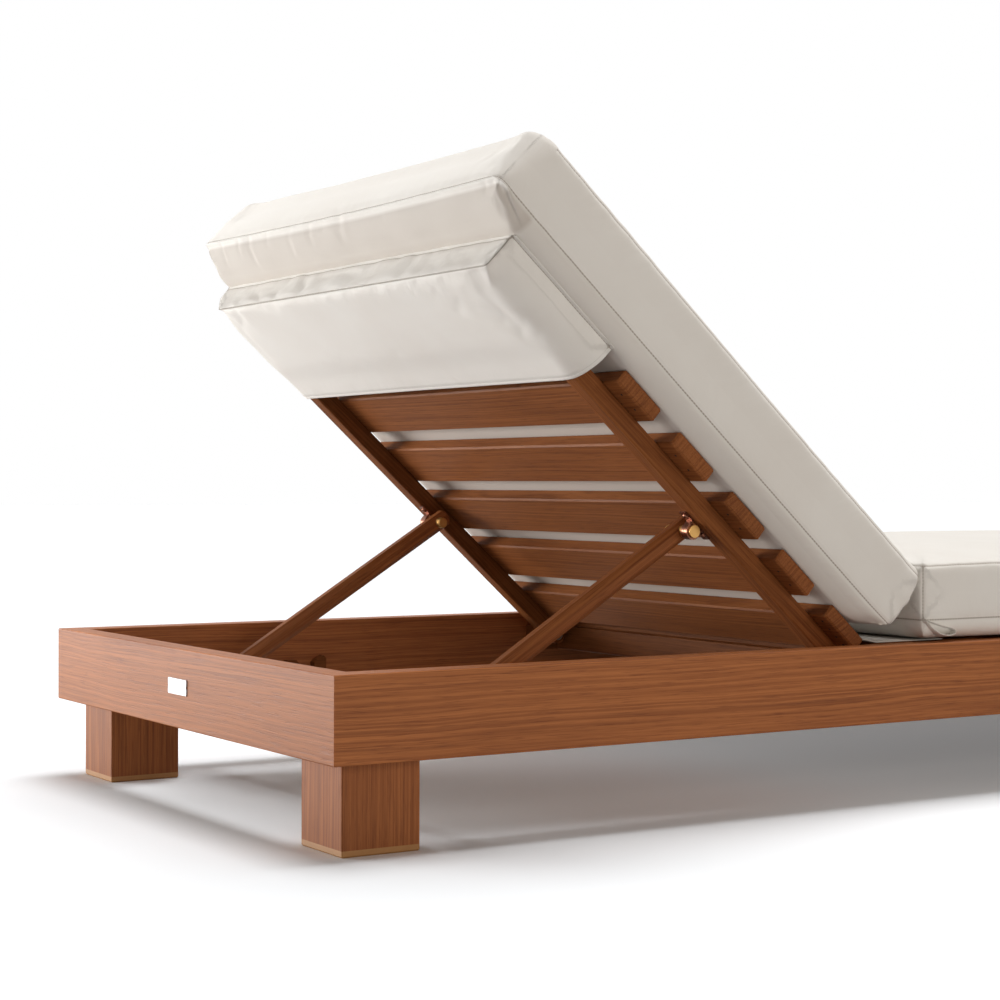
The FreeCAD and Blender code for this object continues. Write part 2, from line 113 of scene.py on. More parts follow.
class NodeSheet:
    """One material's node tree, with short calls to add and join nodes."""

    def __init__(self, name: str) -> None:
        """Start a material with only its output.

        Args:
            name: The material's name.
        """
        self.material = bpy.data.materials.new(name)
        self.material.use_nodes = True
        self.tree = self.material.node_tree
        self.tree.nodes.clear()
        self.output = self.tree.nodes.new("ShaderNodeOutputMaterial")

    def add(self, kind: str, inputs: dict | None = None, **settings: object) -> bpy.types.Node:
        """Add a node.

        Args:
            kind: The node's type without its ShaderNode prefix.
            inputs: Values or sockets for its inputs, by name or index.
            settings: Properties of the node itself.

        Returns:
            The new node.
        """
        node = self.tree.nodes.new("ShaderNode" + kind)
        for key, value in settings.items():
            setattr(node, key, value)
        for key, value in (inputs or {}).items():
            if isinstance(value, bpy.types.NodeSocket):
                self.tree.links.new(value, node.inputs[key])
            else:
                node.inputs[key].default_value = value
        return node

    def math(self, operation: str, first: object, second: object) -> bpy.types.NodeSocket:
        """Add one sum.

        Args:
            operation: The Math node's operation.
            first: First value or socket.
            second: Second value or socket.

        Returns:
            The answer's socket.
        """
        return self.add("Math", {0: first, 1: second}, operation=operation).outputs[0]

    def spread(self, value: bpy.types.NodeSocket, low: float, high: float, to_low: float = 0.0,
               to_high: float = 1.0) -> bpy.types.NodeSocket:
        """Carry a range of values smoothly onto another.

        Args:
            value: The socket to read.
            low: Value that becomes to_low.
            high: Value that becomes to_high.
            to_low: Answer at the low end.
            to_high: Answer at the high end.

        Returns:
            The answer's socket.
        """
        inputs = {"Value": value, "From Min": low, "From Max": high, "To Min": to_low, "To Max": to_high}
        return self.add("MapRange", inputs, interpolation_type="SMOOTHSTEP").outputs[0]

    def mix(self, share: object, first: object, second: object) -> bpy.types.NodeSocket:
        """Mix two colours.

        Args:
            share: How much of the second colour shows.
            first: First colour or socket.
            second: Second colour or socket.

        Returns:
            The mixed colour's socket.
        """
        node = self.add("Mix", data_type="RGBA")
        for index, value in ((0, share), (6, first), (7, second)):
            if isinstance(value, bpy.types.NodeSocket):
                self.tree.links.new(value, node.inputs[index])
            else:
                node.inputs[index].default_value = value if index == 0 else (*value, 1.0)
        return node.outputs[2]

    def noise(self, place: bpy.types.NodeSocket, scale: float, detail: float = 2.0,
              rough: float = 0.5) -> bpy.types.NodeSocket:
        """Add a cloud of noise.

        Args:
            place: The coordinates it reads.
            scale: Clouds to a metre.
            detail: How many finer layers it has.
            rough: How strong the finer layers are.

        Returns:
            The noise's value, from 0 to 1.
        """
        inputs = {"Vector": place, "Scale": scale, "Detail": detail, "Roughness": rough}
        return self.add("TexNoise", inputs).outputs[0]

    def bump(self, height: bpy.types.NodeSocket, distance: float, strength: float,
             below: bpy.types.NodeSocket | None = None) -> bpy.types.NodeSocket:
        """Add relief to a surface.

        Args:
            height: The relief, from 0 to 1.
            distance: How high a 1 stands, in metres.
            strength: How much of it is felt.
            below: An earlier relief that this one lies on.

        Returns:
            The normal's socket.
        """
        inputs = {"Height": height, "Distance": distance, "Strength": strength}
        if below is not None:
            inputs["Normal"] = below
        return self.add("Bump", inputs).outputs[0]

    def surface(self, **inputs: object) -> bpy.types.Material:
        """Close the sheet with the main shader.

        Args:
            inputs: Values or sockets of the shader, with underscores for spaces.

        Returns:
            The finished material.
        """
        named = {key.replace("_", " "): value for key, value in inputs.items()}
        shader = self.add("BsdfPrincipled", named)
        self.tree.links.new(shader.outputs[0], self.output.inputs[0])
        return self.material


class Grain(Enum):
    """Turn that lays a board's grain along the pattern's own X axis."""

    ALONG_X = (0.0, 0.0, 0.0)
    ALONG_Y = (0.0, 0.0, -math.pi / 2)
    ALONG_Z = (0.0, math.pi / 2, 0.0)
    ALONG_BACK = (0.0, -RECLINE, 0.0)
    ALONG_PROP = (0.0, PROP_SLOPE, 0.0)


class PaintedShade(Enum):
    """How much darker a group of boards is coloured than the outside of the frame: painted shade for boards that sit
    in shade, with less sheen to match.
    """

    OUTSIDE = 1.0
    PROP = 0.76
    SLAT = 0.66
    STILE = 0.54
    INSIDE = 0.50


@dataclass(frozen=True)
class Timber:
    """Oiled reddish hardwood with fine straight grain, slow waves in it and open pores."""

    name: str
    grain: Grain
    shade: PaintedShade
    pale: Colour = srgb(202, 131, 78)
    middle: Colour = srgb(168, 101, 55)
    dark: Colour = srgb(100, 50, 27)
    ring_lines: float = 330.0
    wander: float = 0.034
    evenness: float = 0.70
    vein_depth: float = 0.40
    cloud_depth: float = 0.22
    pore_depth: float = 0.42
    board_spread: float = 0.14
    roughness: float = 0.48
    shine: float = 0.20

    def material(self) -> bpy.types.Material:
        """Make the timber's material.

        Returns:
            The finished material.
        """
        sheet = NodeSheet(self.name)
        coords = sheet.add("TexCoord").outputs["Object"]
        turned = sheet.add("Mapping", {"Vector": coords, "Rotation": self.grain.value}).outputs[0]
        slow = sheet.add("Mapping", {"Vector": turned, "Scale": (1.3, 7.0, 7.0)}).outputs[0]
        patch = sheet.add("Mapping", {"Vector": turned, "Scale": (4.5, 60.0, 60.0)}).outputs[0]
        fibre_place = sheet.add("Mapping", {"Vector": turned, "Scale": (9.0, 420.0, 420.0)}).outputs[0]
        pore_place = sheet.add("Mapping", {"Vector": turned, "Scale": (26.0, 760.0, 760.0)}).outputs[0]
        board = sheet.add("ObjectInfo").outputs["Random"]
        axes = sheet.add("SeparateXYZ", {0: turned}).outputs
        wave = sheet.math("MULTIPLY", sheet.noise(slow, 1.0, 3.0, 0.5), self.wander)
        across = sheet.math("ADD", sheet.math("MULTIPLY", axes[1], 0.62), sheet.math("MULTIPLY", axes[2], 0.78))
        ring = sheet.math("ADD", sheet.math("ADD", across, wave), sheet.math("MULTIPLY", board, 0.7))
        rings = self.along_rings(sheet, ring, 1.0, 3.0)
        vein_place = self.along_rings(sheet, sheet.math("ADD", ring, 7.3), 0.45, 1.0)
        crossing = sheet.math("ABSOLUTE", sheet.math("SUBTRACT", vein_place, 0.5), 0.0)
        fading = sheet.spread(sheet.noise(patch, 1.0, 2.0, 0.5), 0.36, 0.66)
        veins = sheet.math("MULTIPLY", sheet.spread(crossing, 0.006, 0.050, 1.0, 0.0), fading)
        fibre = sheet.noise(fibre_place, 1.0, 3.0, 0.6)
        pores = sheet.spread(sheet.noise(pore_place, 1.0, 2.0, 0.6), 0.53, 0.70)
        broad = sheet.noise(slow, 2.3, 2.0, 0.5)
        figure = sheet.math("ADD", sheet.math("MULTIPLY", rings, 0.58), sheet.math("MULTIPLY", fibre, 0.42))
        streak = sheet.spread(figure, 0.36, 0.64)
        colour = sheet.mix(streak, self.dark, self.pale)
        colour = sheet.mix(self.evenness, colour, self.middle)
        colour = sheet.mix(sheet.math("MULTIPLY", veins, self.vein_depth), colour, self.dark)
        colour = sheet.mix(sheet.spread(broad, 0.40, 0.75, 0.0, self.cloud_depth), colour, self.dark)
        colour = sheet.mix(sheet.math("MULTIPLY", pores, self.pore_depth), colour, self.dark)
        # The shade value darkens boards that sit in shade: painted shade. The random board spread is the boards' own
        # tone.
        tone = sheet.math("ADD", sheet.math("MULTIPLY", board, self.board_spread), self.shade.value - 0.05)
        tinted = sheet.add("HueSaturation", {"Value": tone, "Color": colour}).outputs[0]
        rough = sheet.math("ADD", sheet.math("MULTIPLY", fibre, 0.16), self.roughness - 0.08)
        relief = sheet.math("SUBTRACT", sheet.math("MULTIPLY", fibre, 0.5), pores)
        normal = sheet.bump(relief, 0.00025, 0.35)
        return sheet.surface(Base_Color=tinted, Roughness=rough, Normal=normal,
                             Specular_IOR_Level=self.shine * self.shade.value ** 2)

    def along_rings(self, sheet: NodeSheet, ring: bpy.types.NodeSocket, share: float,
                    detail: float) -> bpy.types.NodeSocket:
        """Noise that changes only from one growth ring to the next.

        Args:
            sheet: The sheet to add to.
            ring: Place across the rings, in metres.
            share: How close the lines lie, against the timber's own ring lines.
            detail: How many finer layers it has.

        Returns:
            The noise's value, from 0 to 1.
        """
        inputs = {"W": sheet.math("MULTIPLY", ring, self.ring_lines * share), "Scale": 1.0, "Detail": detail,
                  "Roughness": 0.62}
        return sheet.add("TexNoise", inputs, noise_dimensions="1D").outputs[0]


@dataclass(frozen=True)
class Canvas:
    """Off-white outdoor cloth: close weave, soft creases, stitched seams with painted crease shade where the piece
    marks them, and a darker backing colour that is partly the base's greyer cloth and partly painted shade.
    """

    name: str
    pale: Colour = srgb(241, 239, 234)
    shade: Colour = srgb(231, 226, 219)
    # Colour of the dark line along marked lines: stitches, and painted shade of creases and folds.
    stitch_and_shade_line: Colour = srgb(116, 95, 74)
    backing_and_shade: Colour = srgb(202, 194, 185)
    stitch: float = 0.0042

    def material(self) -> bpy.types.Material:
        """Make the cloth's material. It reads seam_gap and seam_run, in metres, and backing_and_shade, the share
        from 0 to 1 of the darker backing colour, which is partly the base's greyer cloth and partly painted shade.

        Returns:
            The finished material.
        """
        sheet = NodeSheet(self.name)
        coords = sheet.add("TexCoord").outputs["Object"]
        gap = sheet.add("Attribute", attribute_name="seam_gap").outputs["Fac"]
        run = sheet.add("Attribute", attribute_name="seam_run").outputs["Fac"]
        backed_and_shaded = sheet.add("Attribute", attribute_name="backing_and_shade").outputs["Fac"]
        weave = sheet.noise(coords, 1500.0, 1.0, 0.5)
        cloud = sheet.noise(coords, 9.0, 3.0, 0.55)
        line = sheet.spread(gap, 0.0003, 0.0013, 1.0, 0.0)
        beat = sheet.math("SINE", sheet.math("MULTIPLY", run, 2.0 * math.pi / self.stitch), 0.0)
        dash = sheet.spread(beat, -0.6, 0.2, 0.65, 1.0)
        sewn = sheet.math("MULTIPLY", line, dash)
        hollow = sheet.spread(gap, 0.0, 0.005)
        slant = sheet.math("ADD", run, sheet.math("MULTIPLY", gap, 0.45))
        gather_place = sheet.add("CombineXYZ", {0: sheet.math("MULTIPLY", slant, 66.0),
                                                1: sheet.math("MULTIPLY", gap, 12.0)}).outputs[0]
        gather = sheet.noise(gather_place, 1.0, 2.0, 0.5)
        near = sheet.spread(gap, 0.002, 0.045, 1.0, 0.0)
        colour = sheet.mix(cloud, self.pale, self.shade)
        colour = sheet.mix(sheet.math("MULTIPLY", weave, 0.20), colour, self.shade)
        # Darker backing colour: partly the base's greyer cloth, partly painted shade where the cloth lies in shade.
        colour = sheet.mix(backed_and_shaded, colour, self.backing_and_shade)
        # Dark dashed line along each marked line: stitches with painted shade of the seam's crease; at the hood's
        # end fold and end panel edges it is a painted shadow line.
        colour = sheet.mix(sheet.math("MULTIPLY", sewn, 0.70), colour, self.stitch_and_shade_line)
        normal = sheet.bump(sheet.math("MULTIPLY", gather, near), 0.0022, 0.55)
        normal = sheet.bump(hollow, 0.0012, 0.6, normal)
        normal = sheet.bump(weave, 0.00012, 0.25, normal)
        return sheet.surface(Base_Color=colour, Roughness=0.78, Normal=normal, Sheen_Weight=0.12,
                             Sheen_Roughness=0.5)


@dataclass(frozen=True)
class Metal:
    """Metal with fine brushing and slight staining."""

    name: str
    colour: Colour
    stain: Colour
    roughness: float

    def material(self) -> bpy.types.Material:
        """Make the metal's material.

        Returns:
            The finished material.
        """
        sheet = NodeSheet(self.name)
        coords = sheet.add("TexCoord").outputs["Object"]
        cloud = sheet.noise(coords, 60.0, 3.0, 0.6)
        brushed = sheet.add("Mapping", {"Vector": coords, "Scale": (2400.0, 160.0, 2400.0)}).outputs[0]
        lines = sheet.noise(brushed, 1.0, 2.0, 0.5)
        colour = sheet.mix(sheet.spread(cloud, 0.35, 0.75, 0.0, 0.6), self.colour, self.stain)
        rough = sheet.math("ADD", sheet.math("MULTIPLY", cloud, 0.14), self.roughness - 0.07)
        normal = sheet.bump(lines, 0.00004, 0.35)
        return sheet.surface(Base_Color=colour, Metallic=1.0, Roughness=rough, Normal=normal)


@dataclass(frozen=True)
class Moulded:
    """Plain moulded plastic, also used for the painted shade of small holes, with a slight unevenness."""

    name: str
    colour: Colour
    shade: Colour
    roughness: float

    def material(self) -> bpy.types.Material:
        """Make the plastic's material.

        Returns:
            The finished material.
        """
        sheet = NodeSheet(self.name)
        coords = sheet.add("TexCoord").outputs["Object"]
        cloud = sheet.noise(coords, 45.0, 3.0, 0.6)
        fine = sheet.noise(coords, 1800.0, 1.0, 0.5)
        colour = sheet.mix(cloud, self.colour, self.shade)
        normal = sheet.bump(fine, 0.00005, 0.4)
        return sheet.surface(Base_Color=colour, Roughness=self.roughness, Normal=normal)


class Finishes:
    """Every material of the lounger, made once."""

    def __init__(self) -> None:
        """Make all the finishes."""
        self.timber: dict[tuple[Grain, PaintedShade], bpy.types.Material] = {}
        self.canvas = Canvas("cushion_canvas").material()
        self.brass = Metal("pin_brass", srgb(214, 170, 104), srgb(190, 140, 80), 0.42).material()
        self.bronze = Metal("strap_bronze", srgb(150, 104, 84), srgb(104, 66, 50), 0.34).material()
        self.steel = Metal("hinge_steel", srgb(196, 196, 194), srgb(160, 160, 158), 0.36).material()
        self.plate = Metal("plate_steel", srgb(184, 185, 188), srgb(160, 161, 165), 0.36).material()
        self.pad = Moulded("pad_ochre", srgb(190, 138, 82), srgb(172, 122, 70), 0.45).material()
        # Dark colour of the nail holes: painted shade of the holes.
        self.hollow = Moulded("nail_hole_shade", srgb(34, 18, 12), srgb(22, 12, 9), 0.8).material()

    def board(self, grain: Grain, shade: PaintedShade) -> bpy.types.Material:
        """Timber with a grain and a shade, made when it is first asked for.

        Args:
            grain: Which way the grain runs.
            shade: How much painted shade darkens the board.

        Returns:
            The timber's material.
        """
        if (grain, shade) not in self.timber:
            name = f"timber_{shade.name.lower()}_{grain.name.lower()}"
            self.timber[grain, shade] = Timber(name, grain, shade).material()
        return self.timber[grain, shade]


@dataclass(frozen=True)
class TimberDressing:
    """Which way the grain runs in each timber node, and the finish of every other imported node."""

    finishes: Finishes

    def timber_of(self, node: str) -> tuple[Grain, PaintedShade] | None:
        """Grain and shade of a timber node.

        Args:
            node: The node's name.

        Returns:
            Its grain and shade, or None where the node isn't timber.
        """
        # Boards inside the frame, the back slats, the stiles and the prop get painted shade.
        families = (
            (Grain.ALONG_X, PaintedShade.OUTSIDE, ("side_rail",)),
            (Grain.ALONG_Y, PaintedShade.OUTSIDE, ("head_rail", "foot_rail")),
            (Grain.ALONG_Z, PaintedShade.OUTSIDE, ("leg_head", "leg_foot")),
            (Grain.ALONG_X, PaintedShade.INSIDE, ("ledger", "rack")),
            (Grain.ALONG_Y, PaintedShade.INSIDE,
             ("corner_block", "cross_rail", "hinge_cross_rail", "seat_slat", "prop_bar")),
            (Grain.ALONG_Y, PaintedShade.SLAT, ("back_slat",)),
            (Grain.ALONG_BACK, PaintedShade.STILE, ("back_stile",)),
            (Grain.ALONG_PROP, PaintedShade.PROP, ("strut",)),
        )
        for grain, shade, names in families:
            if node.startswith(names):
                return grain, shade
        return None

    def dress(self) -> None:
        """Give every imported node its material."""
        others = (("foot_pad", self.finishes.pad), ("leg_bolts", self.finishes.steel),
                  ("hinge_", self.finishes.steel), ("pivot_pin", self.finishes.brass),
                  ("pivot_strap", self.finishes.bronze))
        for name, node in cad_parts.items():
            timber = self.timber_of(name)
            material = self.finishes.canvas if timber is None else self.finishes.board(*timber)
            if timber is None:
                for start, finish in others:
                    if name.startswith(start):
                        material = finish
            node.data.materials.clear()
            node.data.materials.append(material)
            LOG.info("dressed %s with %s", name, material.name)


def new_piece(name: str, mesh: bmesh.types.BMesh, material: bpy.types.Material) -> bpy.types.Object:
    """Turn a bmesh into an object of the scene, at the origin.

    Args:
        name: The object's name.
        mesh: The shape, which is freed.
        material: Its finish.

    Returns:
        The new object.
    """
    data = bpy.data.meshes.new(name)
    mesh.to_mesh(data)
    mesh.free()
    data.materials.append(material)
    piece = bpy.data.objects.new(name, data)
    bpy.context.scene.collection.objects.link(piece)
    return piece


def smooth_shaded(piece: bpy.types.Object) -> None:
    """Shade every face of a piece smoothly."""
    piece.data.polygons.foreach_set("use_smooth", [True] * len(piece.data.polygons))


def subdivided(piece: bpy.types.Object, levels: int) -> None:
    """Add a subdivision surface that shows the same in every view.

    Args:
        piece: The piece.
        levels: How often its faces are split.
    """
    modifier = piece.modifiers.new("Subdivision", "SUBSURF")
    modifier.levels = levels
    modifier.render_levels = levels


def write_attribute(piece: bpy.types.Object, name: str, values: Sequence[float]) -> None:
    """Store one number for each point of a piece.

    Args:
        piece: The piece.
        name: The attribute's name.
        values: The numbers, in the order of the points.
    """
    attribute = piece.data.attributes.new(name, "FLOAT", "POINT")
    attribute.data.foreach_set("value", values)


@dataclass(frozen=True)
class ClothRun:
    """One short cloth simulation, whose result is kept in the mesh."""

    pressure: float
    gravity: float
    slack: float
    cap: float
    frames: int = 20
    stiffness: float = 15.0
    bending: float = 0.6

    def apply(self, piece: bpy.types.Object, pinned: Sequence[float], loose: Sequence[float]) -> None:
        """Run the cloth and move the piece's points to where it ends.

        Args:
            piece: The piece, already linked to the scene.
            pinned: For each point, how firmly it is held, from 0 to 1.
            loose: For each point, how much of the slack it gets, from 0 to 1.
        """
        for name, weights in (("held", pinned), ("loose", loose)):
            group = piece.vertex_groups.new(name=name)
            for index, weight in enumerate(weights):
                if weight > 0.0:
                    group.add([index], weight, "REPLACE")
        modifier = piece.modifiers.new("Cloth", "CLOTH")
        cloth = modifier.settings
        cloth.quality = 5
        cloth.mass = 0.25
        cloth.tension_stiffness = self.stiffness
        cloth.compression_stiffness = self.stiffness
        cloth.shear_stiffness = self.stiffness / 2
        cloth.bending_stiffness = self.bending
        cloth.air_damping = 2.0
        cloth.use_pressure = self.pressure > 0.0
        cloth.uniform_pressure_force = self.pressure
        cloth.vertex_group_mass = "held"
        cloth.vertex_group_shrink = "loose"
        cloth.shrink_min = 0.0
        cloth.shrink_max = -self.slack
        cloth.effector_weights.gravity = self.gravity
        modifier.collision_settings.use_collision = False
        modifier.point_cache.frame_start = 1
        modifier.point_cache.frame_end = self.frames
        scene = bpy.context.scene
        for step in range(1, self.frames + 1):
            scene.frame_set(step)
        view = bpy.context.evaluated_depsgraph_get()
        settled = [point.co.copy() for point in piece.evaluated_get(view).data.vertices]
        piece.modifiers.remove(modifier)
        piece.vertex_groups.clear()
        scene.frame_set(1)
        for point, goal in zip(piece.data.vertices, settled):
            move = goal - point.co
            if move.length > 1e-9:
                point.co += move.normalized() * self.cap * (1.0 - math.exp(-move.length / self.cap))


@dataclass
class BoxedCushion:
    """Foam cushion in a sewn cover: a top panel, a side band, and a base that turns up to meet the band."""

    name: str
    node: str
    body: Body
    head: float
    foot: float
    half_width: float
    low: float
    lower_seam: float
    upper_seam: float
    high: float
    strip: float
    flat_back: bool
    crown: float = 0.005
    draw_in: float = 0.004
    head_round: float = 0.038
    seam_round: float = 0.013
    foot_round: float = 0.006
    low_round: float = 0.021
    top_round: float = 0.010
    cell: float = 0.0085
    cell_across: float = 0.0055
    crowd: float = 0.35
    groove: float = 0.0016
    fill: float = 0.8
    corner_ends: tuple[float, ...] = ()
    tuck: float = 0.0
    slope: float = 0.0
    foot_bulge: float = 0.0
    corner_drop: float = 0.0
    foot_turn: float = 0.010
    head_turn: float = 0.010
    plain_head: bool = False
    flat_base: float = 0.0
    flat_from: float = 0.0
    flat_ramp: float = 0.05
    strip_edge: float = 0.010
    strip_bow: float = 0.002
    # Shares of the darker backing colour: painted shade on the head strip, and the base's greyer cloth with painted
    # shade where the base turns up.
    strip_backing_and_shade: float = 0.82
    base_backing_and_shade: float = 0.42
    end_bow: float = 0.004
    bulge_run: float = 0.06
    drop_run: float = 0.09
    tuck_share: float = 0.75
    gather_depth: float = 0.0011
    soft_depth: float = 0.0016
    low_cells: int = 4
    band_cells: int = 16

    @property
    def middle(self) -> Vector:
        """Centre of the cushion's plan, at its base."""
        return Vector(((self.head + self.foot) / 2, 0.0, self.low))

    @property
    def half_length(self) -> float:
        """Half of the cushion's length."""
        return (self.foot - self.head) / 2

    def plan_round(self, place: Vector) -> float:
        """Radius of the cushion's corners in plan, at the end where a point lies and at its height.

        Args:
            place: The point.

        Returns:
            The radius.
        """
        if place.x > self.middle.x:
            return self.foot_round
        share = (place.z - self.lower_seam) / (self.upper_seam - self.lower_seam)
        return self.seam_round + (self.head_round - self.seam_round) * min(1.0, max(0.0, share))

    def block(self) -> bmesh.types.BMesh:
        """Divided block, with a row of edges at each seam.

        Returns:
            A bmesh whose points still lie on a plain box.
        """
        mesh = bmesh.new()
        bmesh.ops.create_cube(mesh, size=1.0)
        cuts = (round(2 * self.half_length / self.cell), round(2 * self.half_width / self.cell_across),
                self.low_cells + self.band_cells + 1)
        for axis, count in enumerate(cuts):
            edges = [edge for edge in mesh.edges
                     if abs(edge.verts[0].co[axis] - edge.verts[1].co[axis]) > 0.5]
            bmesh.ops.subdivide_edges(mesh, edges=edges, cuts=count - 1, use_grid_fill=True)
        for point in mesh.verts:
            row = round((point.co.z + 0.5) * cuts[2])
            point.co.x = self.middle.x + self.crowded(point.co.x) * 2 * self.half_length
            point.co.y = self.crowded(point.co.y) * 2 * self.half_width
            point.co.z = self.level(row)
        return mesh

    def crowded(self, share: float) -> float:
        """Place of a row of points, from -0.5 to 0.5, with the rows closer towards the cushion's sides."""
        return share + self.crowd * math.sin(2 * math.pi * share) / (2 * math.pi)

    def level(self, row: int) -> float:
        """Height of a row of points.

        Args:
            row: The row, counted up from the base.

        Returns:
            Its height before the cushion is rounded.
        """
        if row <= self.low_cells:
            return self.low + (self.lower_seam - self.low) * row / self.low_cells
        if row <= self.low_cells + self.band_cells:
            share = (row - self.low_cells) / self.band_cells
            return self.lower_seam + (self.upper_seam - self.lower_seam) * share
        return self.high

    def plan_depth(self, place: Vector) -> tuple[float, Vector]:
        """How far a point lies inside the cushion's plan, and which way is out.

        Args:
            place: A point with its corners already rounded in plan.

        Returns:
            The distance to the side, and the outward direction in plan.
        """
        radius = self.plan_round(place)
        inner_x = self.half_length - radius
        inner_y = self.half_width - radius
        dx = abs(place.x - self.middle.x) - inner_x
        dy = abs(place.y) - inner_y
        sign_x = 1.0 if place.x > self.middle.x else -1.0
        sign_y = 1.0 if place.y > 0.0 else -1.0
        if dx > 0.0 and dy > 0.0:
            out = Vector((dx * sign_x, dy * sign_y, 0.0))
            return radius - out.length, out.normalized()
        if dx > dy:
            return radius - dx, Vector((sign_x, 0.0, 0.0))
        return radius - dy, Vector((0.0, sign_y, 0.0))

    def rounded(self, place: Vector) -> Vector:
        """Round a point of the box into the cushion's corners and edges.

        Args:
            place: A point on the box.

        Returns:
            The point on the cushion before it is stuffed.
        """
        point = place.copy()
        radius = self.plan_round(place)
        dx = abs(point.x - self.middle.x) - (self.half_length - radius)
        dy = abs(point.y) - (self.half_width - radius)
        if dx > 0.0 and dy > 0.0:
            shrink = max(dx, dy) / math.hypot(dx, dy)
            sign_x = 1.0 if point.x > self.middle.x else -1.0
            sign_y = 1.0 if point.y > 0.0 else -1.0
            point.x -= sign_x * dx * (1.0 - shrink)
            point.y -= sign_y * dy * (1.0 - shrink)
        depth, out = self.plan_depth(point)
        end_turn = self.foot_turn if out.x > 0.0 else self.head_turn
        top_turn = self.top_round + (end_turn - self.top_round) * abs(out.x)
        for edge, turn, up in ((self.high, top_turn, 1.0), (self.low, self.low_round, -1.0)):
            side = turn - depth
            rise = turn - abs(edge - point.z)
            if side > 0.0 and rise > 0.0:
                reach = math.hypot(side, rise)
                if up < 0.0:
                    flat = self.flat_base * eased((place.x - self.head - self.flat_from) / self.flat_ramp)
                    reach += flat * (side + rise - reach)
                shrink = max(side, rise) / reach
                point -= out * side * (1.0 - shrink)
                point.z -= up * rise * (1.0 - shrink)
        along = (point.x - self.head) / (self.foot - self.head)
        across = point.y / self.half_width
        swell = math.sin(math.pi * min(1.0, max(0.0, along)))
        height = (point.z - self.low) / (self.high - self.low)
        point.y -= across * self.draw_in * swell * math.sin(math.pi * min(1.0, height) * 0.8)
        ends = math.sin(math.pi * (across + 1.0) / 2) * self.end_bow
        point.x += (self.middle.x - point.x) / self.half_length * ends
        if self.slope > 0.0 and point.z < self.lower_seam and point.x < self.head + self.slope:
            down = (point.x - self.head) / self.slope
            bow = self.strip_bow * math.sin(math.pi * min(1.0, max(0.0, down)))
            drop = (self.lower_seam - self.low) * down + bow
            soft_edge = 0.9 * max(0.0, self.strip_edge - depth) ** 2 / self.strip_edge
            point.z = max(point.z, self.lower_seam - max(0.0, drop - soft_edge))
        share = (point.z - self.lower_seam) / (self.upper_seam - self.lower_seam)
        hollow = min(1.3, (2.0 * share - 1.0) ** 2) * eased(1.0 - (self.foot - point.x) / self.bulge_run)
        point.x -= self.foot_bulge * hollow
        from_head = math.hypot(place.x - self.head, abs(place.y) - self.half_width)
        point.z -= self.corner_drop * min(1.0, max(0.0, share)) * math.exp(-from_head / self.drop_run)
        if self.tuck > 0.0 and point.z < self.lower_seam:
            near_foot = eased(1.0 - (self.foot - point.x) / self.tuck)
            point.z += self.tuck_share * near_foot * (self.lower_seam - point.z)
        if height > 0.9:
            full = 0.4 + 0.6 * min(1.0, 1.8 * swell)
            point.z += self.crown * full * (1.0 - across * across)
        return point

    def corner_gap(self, place: Vector) -> float:
        """Distance of a point from the nearest upright corner seam.

        Args:
            place: The point.

        Returns:
            The distance, or a metre where there is none.
        """
        beyond = max(self.lower_seam - place.z, place.z - self.upper_seam, 0.0)
        gaps = [math.hypot(place.x - self.middle.x - end * self.half_length, abs(place.y) - self.half_width)
                for end in self.corner_ends]
        return math.hypot(min(gaps, default=1.0), beyond)

    def seam(self, place: Vector) -> tuple[float, float]:
        """Where a point lies against the nearest seam.

        Args:
            place: A point on the plain block.

        Returns:
            Its distance from the seam, and how far along the seam it is.
        """
        depth, out = self.plan_depth(place)
        inside = max(0.0, depth)
        upper = math.hypot(inside, place.z - self.upper_seam)
        if self.plain_head and out.x < -0.2:
            upper = max(upper, 0.020)
        gap = min(math.hypot(inside, place.z - self.lower_seam), upper)
        run = place.x if abs(out.y) > abs(out.x) else place.y
        upright = self.corner_gap(place)
        return (upright, place.z) if upright < gap else (gap, run)

    def puckers(self, place: Vector, gap: float, run: float) -> float:
        """How far gathers at the seams and creases of the head strip lift a point.

        Args:
            place: The point before it is moved.
            gap: Its distance from the nearest seam.
            run: How far along that seam it is.

        Returns:
            The lift along the surface, in metres.
        """
        gather = noise.noise(Vector((run * 70.0, self.head * 40.0, place.z * 9.0)))
        lift = self.gather_depth * math.exp(-gap / 0.014) * gather
        soft = noise.noise(Vector((place.x * 7.0, place.y * 7.0, place.z * 7.0)))
        lift += self.soft_depth * soft * eased(gap / 0.03)
        if self.strip > 0.0 and place.x < self.head + self.strip and place.z < self.lower_seam + 0.001:
            lift += self.crease(place.y, self.lower_seam - place.z + place.x - self.head)
        if self.corner_ends:
            pulled = noise.noise(Vector((place.z * 115.0, place.x * 9.0, 5.5)))
            deep = 0.0045 if place.x < self.head + 0.004 else 0.0026
            lift += deep * pulled * math.exp(-self.corner_gap(place) / 0.012)
        return lift

    @staticmethod
    def crease(across: float, down: float) -> float:
        """Depth of the pulled creases of the head strip, as a lift.

        Args:
            across: Place across the strip.
            down: Distance down the strip from the seam.

        Returns:
            The lift, which is below zero in a crease.
        """
        creases = ((-0.352, 0.0014, 0.018), (-0.338, 0.0012, 0.022), (-0.215, 0.0006, 0.030),
                   (-0.110, 0.0007, 0.040), (-0.012, 0.0030, 0.062), (0.030, 0.0009, 0.040),
                   (0.068, 0.0021, 0.055), (0.118, 0.0018, 0.070), (0.182, 0.0011, 0.045),
                   (0.232, 0.0021, 0.075), (0.262, 0.0015, 0.045), (0.315, 0.0013, 0.060))
        lift = 0.0010 * noise.noise(Vector((across * 21.0, down * 16.0, 3.1)))
        for middle, depth, reach in creases:
            aside = across - middle + 0.10 * down * math.sin(middle * 40.0)
            strength = depth * eased(down / 0.008) * eased(1.0 - (down - 0.4 * reach) / (0.6 * reach))
            lift -= strength * math.exp(-(aside / 0.0042) ** 2)
            lift += 0.35 * strength * math.exp(-((aside + 0.008) / 0.0055) ** 2)
        return lift

